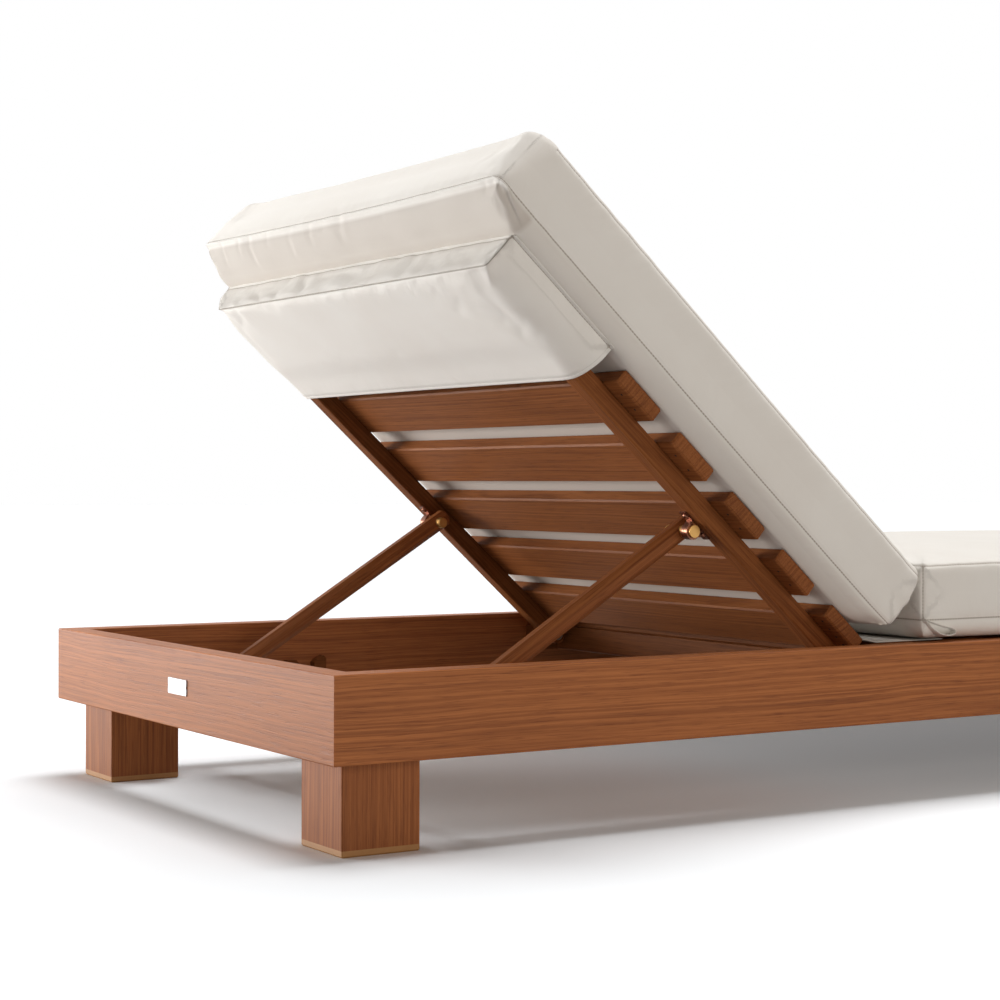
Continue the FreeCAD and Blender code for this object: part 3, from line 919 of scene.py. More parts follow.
    def build(self, finishes: Finishes) -> bpy.types.Object:
        """Model, stuff and sew the cushion.

        Args:
            finishes: The lounger's materials.

        Returns:
            The finished piece.
        """
        mesh = self.block()
        seams = [self.seam(point.co) for point in mesh.verts]
        for point in mesh.verts:
            point.co = self.rounded(point.co)
        mesh.normal_update()
        piece = new_piece(self.name, mesh, finishes.canvas)
        start = [point.co.copy() for point in piece.data.vertices]
        held = []
        loose = []
        for place, (gap, _run) in zip(start, seams):
            depth = self.plan_depth(place)[0]
            in_strip = self.strip > 0.0 and place.x < self.head + self.strip
            resting = place.z < self.low + 0.0005 and depth > self.low_round and not in_strip
            under = in_strip and place.z < self.low + 0.004
            tacked = 0.5 + 0.5 * eased((place.x - self.head - self.strip + 0.030) / 0.020) if under else 0.0
            held.append(1.0 if gap < 0.0005 or resting else tacked)
            loose.append(0.3 if in_strip and place.z < self.lower_seam else 0.0)
        ClothRun(pressure=4.0, gravity=0.0, slack=0.012, cap=0.005).apply(piece, held, loose)
        self.sew(piece, start, seams)
        smooth_shaded(piece)
        subdivided(piece, 1)
        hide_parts(self.node)
        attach(piece, self.body.value)
        LOG.info("built %s with %d points", piece.name, len(piece.data.vertices))
        return piece

    def sew(self, piece: bpy.types.Object, start: Sequence[Vector], seams: Sequence[tuple[float, float]]) -> None:
        """Draw the seams in, gather the cloth along them, and turn the piece up where it lies on the back.

        Args:
            piece: The stuffed piece.
            start: Its points before it was stuffed.
            seams: Each point's distance from a seam and place along it.
        """
        mesh = bmesh.new()
        mesh.from_mesh(piece.data)
        mesh.normal_update()
        for point, place, (gap, run) in zip(mesh.verts, start, seams):
            lift = self.puckers(place, gap, run) - self.groove * math.exp(-(gap / 0.004) ** 2)
            point.co += point.normal * lift
            point.co.z = max(point.co.z, self.low)
        if self.flat_back:
            bmesh.ops.transform(mesh, matrix=turned_up(), verts=mesh.verts)
        mesh.to_mesh(piece.data)
        mesh.free()
        write_attribute(piece, "seam_gap", [gap for gap, _run in seams])
        write_attribute(piece, "seam_run", [run for _gap, run in seams])
        write_attribute(piece, "backing_and_shade", [self.backing_and_shade(place) for place in start])

    def backing_and_shade(self, place: Vector) -> float:
        """How much of the darker backing colour shows at a point: the base's greyer cloth, and painted shade on the
        head strip and on the base seen between the slats.

        Args:
            place: The point before it is sewn.

        Returns:
            The share, from 0 to 1.
        """
        if self.strip > 0.0 and place.x < self.head + self.strip and place.z < self.lower_seam - 0.0005:
            to_hood = eased((place.x - self.head - 0.046) / 0.012)
            return self.strip_backing_and_shade + (1.0 - self.strip_backing_and_shade) * to_hood
        depth = self.plan_depth(place)[0]
        below_seam = self.flat_base > 0.0 and place.z < self.lower_seam - 0.0005
        turned = self.base_backing_and_shade if below_seam else 0.0
        return max(turned, eased((depth - 0.026) / 0.012)) if place.z < self.low + 0.004 else turned


@dataclass
class Hood:
    """Cloth pocket sewn under the head end of the back cushion, drawn over the head end of the back."""

    hem: float = 0.511
    end: float = 0.6825
    stile_edge: float = 0.3190
    slat_edge: float = 0.3479
    slat_under: float = 0.0095
    seam_level: float = 0.0298
    under: float = -0.0142
    near_flare: float = 0.0255
    far_flare: float = 0.0
    flare_run: float = 0.030
    seam_strip: float = 0.006
    lip: float = 0.0010
    middle_cells: int = 58
    lean_cells: int = 7
    rise_cells: int = 4
    strip_cells: int = 2
    rows: int = 32
    cloth: float = 0.0012
    side_limit: float = 0.3490
    end_limit: float = 0.6842
    hem_room: float = 0.0008
    sag_room: float = 0.0036
    hem_run: float = 0.030
    sag_run: float = 0.040
    stile_inner: float = 0.300
    seam_out: float = 0.0006
    fold_width: float = 0.003
    fold_spread: float = 0.007
    spread_run: float = 0.10
    lean_width: float = 0.0025
    rise_width: float = 0.0012
    gather_depth: float = 0.0040
    soft_depth: float = 0.0044
    ridge_depth: float = 0.0011
    hanging_depth: float = 0.0014
    end_depth: float = 0.0050

    @property
    def length(self) -> float:
        """Distance along the cloth from its hem to the fold at the head end."""
        return self.end - self.hem

    @property
    def columns(self) -> int:
        """Cells from the middle of the cloth to its side edge."""
        return self.middle_cells + self.lean_cells + self.rise_cells + self.strip_cells

    def knees(self, along: float, near: bool) -> list[Vector]:
        """Corners of the cloth's path from the middle of the back to the seam on the cushion.

        Args:
            along: Distance from the hem.
            near: Whether it is the near side, whose corner is drawn out at the head end.

        Returns:
            The corners, each with its reach across and its height above the hinge plane.
        """
        flare = self.near_flare if near else self.far_flare
        share = min(1.0, max(0.0, (along - self.length + self.flare_run) / self.flare_run))
        fold = self.stile_edge + flare * share
        return [Vector((0.0, self.under)), Vector((fold, self.under)), Vector((self.slat_edge, self.slat_under)),
                Vector((self.slat_edge + self.seam_out, self.seam_level)),
                Vector((self.slat_edge + self.seam_out + self.seam_strip, self.seam_level + 0.0002))]

    def across(self, column: int, along: float) -> Vector:
        """Place of one column of the cloth on its path, with the folds eased.

        Args:
            column: The column, counted out from the middle and negative on the near side.
            along: Distance from the hem.

        Returns:
            Reach across and height.
        """
        knees = self.knees(along, column < 0)
        cells = (self.middle_cells, self.lean_cells, self.rise_cells, self.strip_cells)
        runs = [(after - before).length for before, after in zip(knees, knees[1:])]
        left = float(abs(column))
        distance = 0.0
        for run, count in zip(runs, cells):
            distance += run * min(1.0, max(0.0, left / count))
            left -= count
        from_flare = eased((self.length - self.flare_run - along) / self.spread_run)
        widths = (self.fold_width + self.fold_spread * from_flare, self.lean_width, self.rise_width)
        folds = [sum(runs[:index + 1]) for index in range(3)]
        nearest = min(range(3), key=lambda index: abs(folds[index] - distance))
        window = widths[nearest]
        steps = [distance + window * (step / 4.0 - 1.0) for step in range(9)]
        places = [self.on_path(knees, runs, step) for step in steps]
        return sum(places, Vector((0.0, 0.0))) / len(places)

    @staticmethod
    def on_path(knees: Sequence[Vector], runs: Sequence[float], distance: float) -> Vector:
        """Point a distance along a path of straight runs.

        Args:
            knees: Corners of the path.
            runs: Lengths between them.
            distance: How far along the point lies.

        Returns:
            The point.
        """
        left = distance
        for index, run in enumerate(runs):
            if left <= run or index == len(runs) - 1:
                return knees[index].lerp(knees[index + 1], left / run)
            left -= run
        return knees[-1].copy()

    def build(self, finishes: Finishes) -> bpy.types.Object:
        """Cut, fold, drape and sew the hood.

        Args:
            finishes: The lounger's materials.

        Returns:
            The finished piece.
        """
        mesh = bmesh.new()
        gaps = mesh.verts.layers.float.new("seam_gap")
        runs = mesh.verts.layers.float.new("seam_run")
        self.pocket(mesh, gaps, runs)
        self.end_panel(mesh, gaps, runs)
        bmesh.ops.remove_doubles(mesh, verts=mesh.verts, dist=1e-5)
        bmesh.ops.recalc_face_normals(mesh, faces=mesh.faces)
        flat = [point.co.copy() for point in mesh.verts]
        bmesh.ops.transform(mesh, matrix=turned_up(), verts=mesh.verts)
        piece = new_piece("hood_cloth", mesh, finishes.canvas)
        self.drape(piece, flat)
        self.wrinkle(piece, flat)
        self.keep_clear(piece)
        self.crease(piece, flat)
        smooth_shaded(piece)
        wall = piece.modifiers.new("Cloth thickness", "SOLIDIFY")
        wall.thickness = self.cloth
        wall.offset = 0.0
        subdivided(piece, 1)
        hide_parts("hood")
        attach(piece, Body.BACK.value)
        LOG.info("built %s with %d points", piece.name, len(piece.data.vertices))
        return piece

    def pocket(self, mesh: bmesh.types.BMesh, gaps: bmesh.types.BMLayerItem, runs: bmesh.types.BMLayerItem) -> None:
        """Add the cloth under the back and its two side panels, placed with the back lying flat.

        Args:
            mesh: The bmesh to add to.
            gaps: Layer for each point's distance from the nearest dark line: stitching, and the painted shadow line
                at the end fold.
            runs: Layer for its place along that line.
        """
        row = self.length / self.rows
        rise = (self.seam_level - self.slat_under) / self.rise_cells
        sewn = self.middle_cells + self.lean_cells + self.rise_cells
        made = bmesh.ops.create_grid(mesh, x_segments=2 * self.columns, y_segments=self.rows, size=0.5)["verts"]
        for point in made:
            column = round(point.co.x * 2 * self.columns)
            along = self.length * round((point.co.y + 0.5) * self.rows) / self.rows
            spot = self.across(column, along)
            side = 1.0 if column > 0 else -1.0
            point.co = Vector((HINGE_X - self.hem - along, side * spot.x, HINGE_Z + spot.y))
            # The line at the end fold is a painted shadow line, drawn like a seam.
            lines = [(abs(along - row) + 0.0008, spot.x), (self.length - along, spot.x)]
            if abs(column) > self.middle_cells + self.lean_cells:
                lines.append((abs(abs(column) - sewn) * rise, along))
            point[gaps], point[runs] = min(lines)

    def end_panel(self, mesh: bmesh.types.BMesh, gaps: bmesh.types.BMLayerItem,
                  runs: bmesh.types.BMLayerItem) -> None:
        """Add the panel that closes the head end, with its side edges on the side panels' ends.

        Args:
            mesh: The bmesh to add to.
            gaps: Layer for each point's distance from the nearest dark line, among them painted shadow lines at the
                end fold and the side edges.
            runs: Layer for its place along that line.
        """
        levels = self.lean_cells + self.rise_cells + 1
        made = bmesh.ops.create_grid(mesh, x_segments=2 * self.middle_cells, y_segments=levels, size=0.5)["verts"]
        for point in made:
            column = round(point.co.x * 2 * self.middle_cells)
            level = round((point.co.y + 0.5) * levels)
            side = -1 if column < 0 else 1
            on_lip = level == levels
            edge = self.across(side * (self.middle_cells + level - (1 if on_lip else 0)), self.length)
            share = abs(column) / self.middle_cells
            out = self.lip if on_lip else 0.0
            height = edge.y + (0.0015 if on_lip else 0.0)
            point.co = Vector((HINGE_X - self.end - out, side * edge.x * share, HINGE_Z + height))
            # The lines at the end fold and at the side edges are painted shadow lines, drawn like seams.
            lines = [(edge.y - self.under, point.co.y), ((1.0 - share) * self.slat_edge, height),
                     (abs(levels - 2 - level) * 0.0045, point.co.y)]
            point[gaps], point[runs] = min(lines)

    def drape(self, piece: bpy.types.Object, flat: Sequence[Vector]) -> None:
        """Let the hood's cloth settle, held along its seams, its folds and over the stiles.

        Args:
            piece: The folded cloth.
            flat: Each point's place with the back lying flat.
        """
        held = []
        for place in flat:
            height = place.z - HINGE_Z
            to_end = place.x - (HINGE_X - self.end)
            at_seam = height > self.seam_level - 0.002
            at_fold = to_end < 0.001 and (height < self.under + 0.002 or abs(place.y) > self.stile_edge)
            on_stile = self.stile_inner < abs(place.y) < self.stile_edge and height < self.under + 0.002
            held.append(1.0 if at_seam or at_fold else (0.7 if on_stile else 0.0))
        loose = [1.0] * len(held)
        ClothRun(pressure=0.0, gravity=0.6, slack=0.010, cap=0.006, frames=18, stiffness=12.0,
                 bending=0.9).apply(piece, held, loose)

    def wrinkle(self, piece: bpy.types.Object, flat: Sequence[Vector]) -> None:
        """Add the short gathers below the end fold and the soft slanting wrinkles elsewhere.

        Args:
            piece: The draped cloth.
            flat: Each point's place with the back lying flat.
        """
        normals = [point.normal.copy() for point in piece.data.vertices]
        for point, normal, place in zip(piece.data.vertices, normals, flat):
            height = place.z - HINGE_Z - self.under
            to_end = place.x - (HINGE_X - self.end)
            to_hem = self.length - to_end
            below_seam = self.seam_level - self.under - height
            free = eased(to_end / 0.004) if height < 0.004 else eased(below_seam / 0.006)
            gather = noise.noise(Vector((place.y * 46.0, 1.7, to_end * 12.0))) * math.exp(-to_end / 0.030)
            soft = noise.noise(Vector((place.y * 12.0 + to_end * 17.0, 4.2, to_end * 9.0)))
            fold = noise.noise(Vector((place.y * 20.0 - to_end * 26.0, 2.9, to_end * 4.0)))
            ridge = math.exp(-(fold / 0.07) ** 2) * eased(0.5 + 2.0 * soft)
            hanging = noise.noise(Vector((place.y * 16.0 - to_hem * 22.0, 9.6, 0.0))) * math.exp(-to_hem / 0.035)
            lift = self.gather_depth * gather + self.soft_depth * soft
            lift += self.ridge_depth * ridge + self.hanging_depth * hanging
            if to_end < 0.001:
                lift = -self.end_depth * abs(noise.noise(Vector((place.y * 19.0, height * 34.0, 6.0))))
                lift *= eased((self.stile_edge - 0.006 - abs(place.y)) / 0.030)
            point.co += normal * lift * free

    def keep_clear(self, piece: bpy.types.Object) -> None:
        """Hold the cloth off the rails and the prop, which it passes closely when the back lies flat.

        Args:
            piece: The draped cloth.
        """
        lift_up = turned_up()
        lay_flat = lift_up.inverted()
        for point in piece.data.vertices:
            place = lay_flat @ point.co
            along = HINGE_X - place.x
            lowest = HINGE_Z + self.under - self.hem_room
            lowest -= (self.sag_room - self.hem_room) * eased((along - self.hem - self.hem_run) / self.sag_run)
            place.z = max(place.z, lowest)
            if place.z < HINGE_Z + self.seam_level - 0.0004:
                place.x = max(place.x, HINGE_X - self.end_limit)
                place.y = math.copysign(min(abs(place.y), self.side_limit), place.y)
            point.co = lift_up @ place

    def crease(self, piece: bpy.types.Object, flat: Sequence[Vector]) -> None:
        """Keep the end fold and the corner seams sharp where the surface is subdivided.

        Args:
            piece: The draped cloth.
            flat: Each point's place with the back lying flat.
        """
        sharp = []
        for edge in piece.data.edges:
            ends = [flat[index] for index in edge.vertices]
            at_end = all(abs(place.x - (HINGE_X - self.end)) < 1e-4 for place in ends)
            along_fold = all(place.z - HINGE_Z < self.under + 0.0025 for place in ends)
            along_corner = all(abs(place.y) > self.stile_edge - 0.0008 for place in ends)
            sharp.append(1.0 if at_end and (along_fold or along_corner) else 0.0)
        crease = piece.data.attributes.new("crease_edge", "FLOAT", "EDGE")
        crease.data.foreach_set("value", sharp)


@dataclass
class JoiningFlap:
    """Cloth strip that lies under the seat cushion's head end and is sewn to the foot of the back cushion."""

    seat_end: float = -0.150
    bend: float = -0.255
    half_width: float = 0.340
    lie: float = 0.1868
    tip_along: float = 0.016
    tip_above: float = 0.0308
    ripple: float = 0.0004
    hem: float = 0.006
    # Share of the darker backing colour: painted shade, as the strip lies in shade under the cushions.
    backing_and_shade: float = 0.35
    cell: float = 0.007
    cloth: float = 0.0010

    def build(self, finishes: Finishes) -> bpy.types.Object:
        """Lay the strip, rising at its end to the foot of the back cushion where the back rests.

        Args:
            finishes: The lounger's materials.

        Returns:
            The finished piece.
        """
        tip = turned_up() @ Vector((HINGE_X - self.tip_along, 0.0, HINGE_Z + self.tip_above))
        length = self.seat_end - tip.x
        mesh = bmesh.new()
        bmesh.ops.create_grid(mesh, x_segments=round(length / self.cell),
                              y_segments=round(2 * self.half_width / self.cell), size=0.5)
        for point in mesh.verts:
            share = 0.5 - point.co.x
            x = self.seat_end - share * length
            rise = eased((self.bend - x) / (self.bend - tip.x))
            wave = noise.noise(Vector((point.co.y * 14.0, x * 30.0, 2.0))) * self.ripple * (1.0 - rise)
            height = self.lie + rise * (tip.z - self.lie) + abs(wave)
            point.co = Vector((x, point.co.y * 2 * self.half_width, height))
        piece = new_piece("joining_flap", mesh, finishes.canvas)
        gaps = [min(abs(abs(point.co.y) - self.half_width + self.hem), 0.05) for point in piece.data.vertices]
        runs = [point.co.x for point in piece.data.vertices]
        write_attribute(piece, "seam_gap", gaps)
        write_attribute(piece, "seam_run", runs)
        write_attribute(piece, "backing_and_shade", [self.backing_and_shade] * len(runs))
        smooth_shaded(piece)
        wall = piece.modifiers.new("Cloth thickness", "SOLIDIFY")
        wall.thickness = self.cloth
        wall.offset = 0.0
        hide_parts("cushion_flap")
        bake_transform(piece)
        LOG.info("built %s with %d points", piece.name, len(piece.data.vertices))
        return piece


@dataclass
class CornerTab:
    """Folded loop of cloth sewn under a head corner of the seat cushion."""

    side: float
    start: float = -0.2075
    width: float = 0.013
    out: float = 0.3735
    # Share of the darker backing colour: painted shade under the cushion's corner.
    backing_and_shade: float = 0.35
    cloth: float = 0.0012
    rows: int = 28
    loop: tuple[tuple[float, float], ...] = (
        (0.0, 0.2125), (0.010, 0.2035), (0.024, 0.1960), (0.038, 0.1935), (0.047, 0.1955), (0.049, 0.1995),
        (0.042, 0.2030), (0.028, 0.2055), (0.014, 0.2095), (0.003, 0.2128))

    def build(self, finishes: Finishes) -> bpy.types.Object:
        """Bend a strip of cloth into the loop.

        Args:
            finishes: The lounger's materials.

        Returns:
            The finished piece.
        """
        spots = [Vector((self.start + ahead, height)) for ahead, height in self.loop]
        runs = [(after - before).length for before, after in zip(spots, spots[1:])]
        mesh = bmesh.new()
        bmesh.ops.create_grid(mesh, x_segments=4, y_segments=self.rows, size=0.5)
        for point in mesh.verts:
            place = Hood.on_path(spots, runs, sum(runs) * (point.co.y + 0.5))
            tuck = self.width * (0.5 + point.co.x)
            point.co = Vector((place.x, self.side * (self.out - tuck), place.y - 0.10 * tuck))
        piece = new_piece("corner_tab_near" if self.side < 0.0 else "corner_tab_far", mesh, finishes.canvas)
        count = len(piece.data.vertices)
        write_attribute(piece, "seam_gap", [0.05] * count)
        write_attribute(piece, "seam_run", [0.0] * count)
        write_attribute(piece, "backing_and_shade", [self.backing_and_shade] * count)
        smooth_shaded(piece)
        wall = piece.modifiers.new("Cloth thickness", "SOLIDIFY")
        wall.thickness = self.cloth
        wall.offset = 0.0
        subdivided(piece, 1)
        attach(piece, Body.SEAT_PAD.value)
        LOG.info("built %s", piece.name)
        return piece


@dataclass
class NamePlate:
    """Bare polished plate on the outside of the head rail, with a notch halfway up each short edge."""

    middle: Vector
    width: float = 0.051
    height: float = 0.0182
    thick: float = 0.0016
    corner: float = 0.0018
    notch: float = 0.0016

    def build(self, finishes: Finishes) -> bpy.types.Object:
        """Model the plate.

        Args:
            finishes: The lounger's materials.

        Returns:
            The finished piece.
        """
        mesh = bmesh.new()
        bmesh.ops.create_cube(mesh, size=1.0)
        bmesh.ops.scale(mesh, vec=(self.thick, self.width, self.height), verts=mesh.verts)
        upright = [edge for edge in mesh.edges
                   if abs(edge.verts[0].co.x - edge.verts[1].co.x) > self.thick / 2]
        bmesh.ops.bevel(mesh, geom=upright, offset=self.corner, affect="EDGES", segments=4, profile=0.5, material=-1)
        for z in (-self.notch, self.notch):
            geometry = mesh.verts[:] + mesh.edges[:] + mesh.faces[:]
            bmesh.ops.bisect_plane(mesh, geom=geometry, plane_co=(0.0, 0.0, z), plane_no=(0.0, 0.0, 1.0))
        geometry = mesh.verts[:] + mesh.edges[:] + mesh.faces[:]
        bmesh.ops.bisect_plane(mesh, geom=geometry, plane_co=(0.0, 0.0, 0.0), plane_no=(0.0, 0.0, 1.0))
        for point in mesh.verts:
            if abs(point.co.z) < 1e-6 and abs(point.co.y) > self.width / 2 - 1e-6:
                point.co.y -= math.copysign(self.notch, point.co.y)
        front = [face for face in mesh.faces if face.normal.x < -0.9]
        rim = [edge for edge in mesh.edges
               if sum(face in front for face in edge.link_faces) == 1]
        bmesh.ops.bevel(mesh, geom=rim, offset=0.0004, affect="EDGES", segments=2, profile=0.5, material=-1)
        bmesh.ops.translate(mesh, vec=self.middle - Vector((self.thick / 2, 0.0, 0.0)), verts=mesh.verts)
        piece = new_piece("name_plate", mesh, finishes.plate)
        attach(piece, Body.FRAME.value)
        LOG.info("built %s", piece.name)
        return piece


@dataclass
class SlatNails:
    """Small dark discs for the nail holes under the overhanging ends of the back slats: their darkness is painted
    shade of the holes.
    """

    first: float = 0.0186
    pitch: float = 0.09907
    slat: float = 0.065
    count: int = 7
    out: float = 0.3305
    under: float = 0.011
    radius: float = 0.0017
    spacing: float = 0.024

    def build(self, finishes: Finishes) -> bpy.types.Object:
        """Model all the nail holes as one piece.

        Args:
            finishes: The lounger's materials.

        Returns:
            The finished piece.
        """
        mesh = bmesh.new()
        for index in range(self.count):
            centre = self.first + index * self.pitch + self.slat / 2
            steps = (-1.5, -0.5, 0.5, 1.5) if index == 0 else (-0.5, 0.5)
            gap = self.spacing * (0.6 if index == 0 else 1.0)
            for side in (-1.0, 1.0):
                for step in steps:
                    place = Vector((HINGE_X - centre - step * gap, side * self.out, HINGE_Z + self.under - 0.0001))
                    bmesh.ops.create_cone(mesh, cap_ends=True, segments=10, radius1=self.radius * 0.7,
                                          radius2=self.radius, depth=0.0004, matrix=Matrix.Translation(place))
        bmesh.ops.transform(mesh, matrix=turned_up(), verts=mesh.verts)
        piece = new_piece("slat_nails", mesh, finishes.hollow)
        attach(piece, Body.BACK.value)
        LOG.info("built %s", piece.name)
        return piece


@dataclass
class StrapScrews:
    """Round-headed screws through the feet of the two straps that hang the prop."""

    along: float = 0.268
    reach: float = 0.0162
    out: float = 0.2955
    under: float = -0.013
    radius: float = 0.0042
    height: float = 0.0026

    def build(self, finishes: Finishes) -> bpy.types.Object:
        """Model the screws as one piece.

        Args:
            finishes: The lounger's materials.

        Returns:
            The finished piece.
        """
        mesh = bmesh.new()
        for side in (-1.0, 1.0):
            for step in (-1.0, 1.0):
                place = Vector((HINGE_X - self.along + step * self.reach, side * self.out, HINGE_Z + self.under))
                self.screw(mesh, place)
        bmesh.ops.transform(mesh, matrix=turned_up(), verts=mesh.verts)
        bmesh.ops.recalc_face_normals(mesh, faces=mesh.faces)
        piece = new_piece("strap_screws", mesh, finishes.bronze)
        smooth_shaded(piece)
        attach(piece, Body.BACK.value)
        LOG.info("built %s", piece.name)
        return piece

    def screw(self, mesh: bmesh.types.BMesh, place: Vector) -> None:
        """Add one screw head, domed downwards.

        Args:
            mesh: The bmesh to add to.
            place: The middle of the head's seat.
        """
        arc = [Vector((0.0, 0.0, -self.height))]
        arc += [Vector((self.radius * math.sin(turn), 0.0, -self.height * math.cos(turn)))
                for turn in (0.5, 1.0, 1.35)]
        arc.append(Vector((self.radius, 0.0, 0.0)))
        arc.append(Vector((0.0, 0.0, 0.0)))
        points = [bmesh.ops.create_vert(mesh, co=place + spot)["vert"][0] for spot in arc]
        edges = [mesh.edges.new(pair) for pair in zip(points, points[1:])]
        bmesh.ops.spin(mesh, geom=points + edges, cent=place, axis=(0.0, 0.0, 1.0), angle=2 * math.pi,
                       steps=14, use_merge=True)
        whole = {point for point in mesh.verts if (point.co - place).length < 2 * self.radius}
        bmesh.ops.remove_doubles(mesh, verts=list(whole), dist=1e-6)


@dataclass
class Studio:
    """Pale floor, white surround, soft lamps and the camera of the photograph."""

    camera_place: Vector
    camera_right: Vector
    camera_down: Vector
    camera_ahead: Vector
    lens: float = 74.40
    shift_x: float = 0.0061
    shift_y: float = -0.0121
    floor_size: float = 60.0
    warmth: Colour = (1.0, 0.905, 0.81)
    floor_seen: Colour = (0.93, 0.965, 1.0)
    floor_bounce: Colour = (0.5, 0.5, 0.5)
    glow: float = 0.14
    # How near the head end the floor's glow is left out, and where it is back in full: painted shadow.
    painted_shadow_within: float = 0.3
    painted_shadow_fades_by: float = 0.9
    surround: float = 0.18
    sun_power: float = 2.5
    sun_angle: float = 36.0
    sun_from: tuple[float, float, float] = (0.26, 0.10, 1.0)
    head_power: float = 122.0
    head_tint: Colour = (1.0, 0.992, 0.982)
    near_power: float = 38.0

    def build(self) -> None:
        """Set up everything round the object."""
        self.floor()
        self.world()
        self.lamps()
        self.camera()
        bpy.context.scene.view_settings.view_transform = "Standard"
        LOG.info("studio is ready")

    def floor(self) -> None:
        """Lay a wide pale floor that keeps the shadow. Its glow for the camera is left out near the head end and
        fades in further off, which paints a deeper shadow round the object.
        """
        mesh = bmesh.new()
        bmesh.ops.create_grid(mesh, x_segments=2, y_segments=2, size=self.floor_size / 2)
        sheet = NodeSheet("studio_floor")
        rays = sheet.add("LightPath")
        seen = rays.outputs["Is Camera Ray"]
        diffuse = sheet.add("BsdfDiffuse", {"Color": sheet.mix(seen, self.floor_bounce, self.floor_seen)})
        coords = sheet.add("TexCoord").outputs["Object"]
        # Painted shadow: the floor's glow for the camera is left out near the head end and fades in with distance.
        from_shadow_middle = sheet.add("VectorMath", {0: coords, 1: (-1.0, -0.15, 0.0)}, operation="DISTANCE").outputs["Value"]
        far = sheet.spread(from_shadow_middle, self.painted_shadow_within, self.painted_shadow_fades_by, 0.0, self.glow)
        glow = sheet.add("Emission", {"Color": (1.0, 1.0, 1.0, 1.0), "Strength": sheet.math("MULTIPLY", seen, far)})
        both = sheet.add("AddShader", {0: diffuse.outputs[0], 1: glow.outputs[0]})
        sheet.tree.links.new(both.outputs[0], sheet.output.inputs[0])
        piece = new_piece("studio_floor", mesh, sheet.material)

    def world(self) -> None:
        """Surround that the camera and mirrors see as white, and that lights softly."""
        world = bpy.data.worlds.new("studio_surround")
        bpy.context.scene.world = world
        world.use_nodes = True
        tree = world.node_tree
        tree.nodes.clear()
        rays = tree.nodes.new("ShaderNodeLightPath")
        seen = tree.nodes.new("ShaderNodeMath")
        seen.operation = "MAXIMUM"
        tree.links.new(rays.outputs["Is Camera Ray"], seen.inputs[0])
        tree.links.new(rays.outputs["Is Glossy Ray"], seen.inputs[1])
        clear = tree.nodes.new("ShaderNodeMath")
        clear.operation = "MAXIMUM"
        tree.links.new(seen.outputs[0], clear.inputs[0])
        tree.links.new(rays.outputs["Is Transmission Ray"], clear.inputs[1])
        strength = tree.nodes.new("ShaderNodeMapRange")
        strength.inputs["To Min"].default_value = self.surround
        strength.inputs["To Max"].default_value = 1.0
        tree.links.new(clear.outputs[0], strength.inputs["Value"])
        background = tree.nodes.new("ShaderNodeBackground")
        tint = tree.nodes.new("ShaderNodeMix")
        tint.data_type = "RGBA"
        tint.inputs[6].default_value = (*self.warmth, 1.0)
        tint.inputs[7].default_value = (1.0, 1.0, 1.0, 1.0)
        tree.links.new(clear.outputs[0], tint.inputs[0])
        tree.links.new(tint.outputs[2], background.inputs["Color"])
        tree.links.new(strength.outputs[0], background.inputs["Strength"])
        output = tree.nodes.new("ShaderNodeOutputWorld")
        tree.links.new(background.outputs[0], output.inputs[0])

    def lamps(self) -> None:
        """Overhead lamp that makes the shadow, and soft lamps beyond the head end and on the near side."""
        top = bpy.data.lights.new("overhead_lamp", "SUN")
        top.energy = self.sun_power
        top.angle = math.radians(self.sun_angle)
        above = bpy.data.objects.new("overhead_lamp", top)
        above.rotation_euler = Vector(self.sun_from).to_track_quat("Z", "Y").to_euler()
        bpy.context.scene.collection.objects.link(above)
        self.soft_lamp("head_lamp", Vector((-3.2, 2.6, 0.45)), Vector((-0.7, 0.0, 0.35)), (2.4, 0.8),
                       self.head_power, self.head_tint)
        self.soft_lamp("near_lamp", Vector((-0.2, -4.2, 1.0)), Vector((-0.2, 0.0, 0.4)), (3.0, 1.5),
                       self.near_power, self.warmth)

    def soft_lamp(self, name: str, place: Vector, aim: Vector, size: tuple[float, float], power: float,
                  colour: Colour) -> None:
        """Hang one wide soft lamp.

        Args:
            name: The lamp's name.
            place: Where it hangs.
            aim: The point it faces.
            size: Its width and height, in metres.
            power: Its power, in watts.
            colour: Its colour.
        """
        lamp = bpy.data.lights.new(name, "AREA")
        lamp.shape = "RECTANGLE"
        lamp.size, lamp.size_y = size
        lamp.energy = power
        lamp.color = colour
        piece = bpy.data.objects.new(name, lamp)
        piece.location = place
        piece.rotation_euler = (place - aim).to_track_quat("Z", "Y").to_euler()
        bpy.context.scene.collection.objects.link(piece)

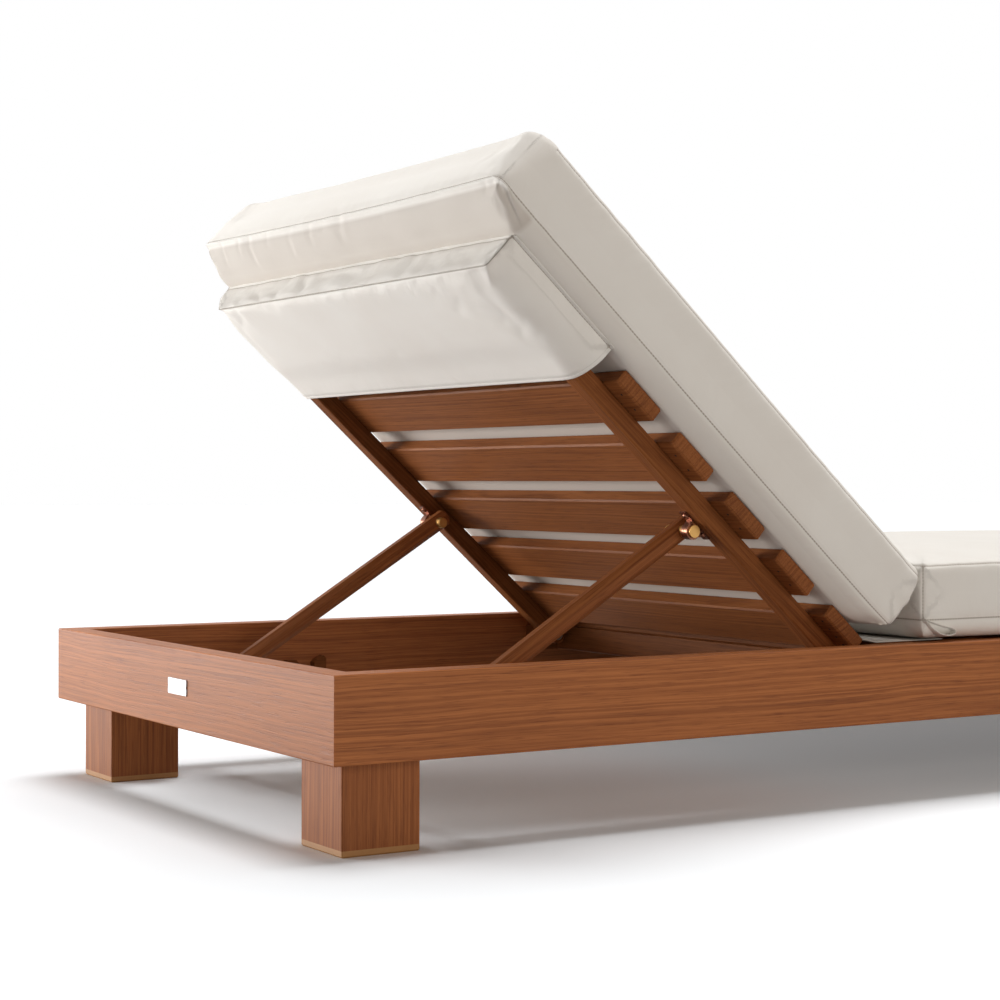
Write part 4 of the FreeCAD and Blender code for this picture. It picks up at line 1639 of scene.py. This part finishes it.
    def camera(self) -> None:
        """Stand the camera where the photograph was taken from."""
        data = bpy.data.cameras.new("photograph_camera")
        data.lens = self.lens
        data.sensor_width = 36.0
        data.shift_x = self.shift_x
        data.shift_y = self.shift_y
        data.clip_end = 200.0
        piece = bpy.data.objects.new("photograph_camera", data)
        axes = Matrix((self.camera_right, -self.camera_down, -self.camera_ahead)).transposed()
        piece.matrix_world = Matrix.Translation(self.camera_place) @ axes.to_4x4()
        bpy.context.scene.collection.objects.link(piece)
        bpy.context.scene.camera = piece


def main() -> None:
    """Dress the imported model, build the new pieces and set up the studio."""
    logging.basicConfig(level=logging.INFO, format="%(name)s: %(message)s")
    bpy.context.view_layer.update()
    finishes = Finishes()
    TimberDressing(finishes).dress()
    BoxedCushion("back_cushion_cover", "back_cushion", Body.BACK, head=HINGE_X - 0.744, foot=HINGE_X - 0.0095,
                 half_width=0.369, low=HINGE_Z + 0.0293, lower_seam=HINGE_Z + 0.053, upper_seam=HINGE_Z + 0.1275,
                 high=HINGE_Z + 0.1355, strip=0.064, flat_back=True, low_round=0.025, top_round=0.009,
                 corner_ends=(1.0,), tuck=0.060, slope=0.058, foot_bulge=0.005, foot_turn=0.022,
                 head_turn=0.012, plain_head=True, flat_base=0.65, flat_from=0.245).build(finishes)
    BoxedCushion("seat_cushion_cover", "seat_cushion", Body.SEAT_PAD, head=-0.210, foot=0.955, half_width=0.369,
                 low=0.1892, lower_seam=0.213, upper_seam=0.2805, high=0.2860, strip=0.0, flat_back=False,
                 cell=0.0115, cell_across=0.0085, crowd=0.45, crown=0.0135, head_round=0.006, seam_round=0.006,
                 foot_round=0.012, corner_ends=(-1.0, 1.0), corner_drop=0.003).build(finishes)
    Hood().build(finishes)
    JoiningFlap().build(finishes)
    for side in (-1.0, 1.0):
        CornerTab(side).build(finishes)
    NamePlate(middle=Vector((-1.0, -0.0026, 0.1432))).build(finishes)
    SlatNails().build(finishes)
    StrapScrews().build(finishes)
    Studio(camera_place=Vector((-1.93995, -2.16912, 0.37391)), camera_right=Vector((0.846847, -0.531831, 0.002473)),
           camera_down=Vector((0.000877, -0.003253, -0.999994)),
           camera_ahead=Vector((0.531836, 0.846844, -0.002288))).build()


if __name__ == "__main__":
    main()
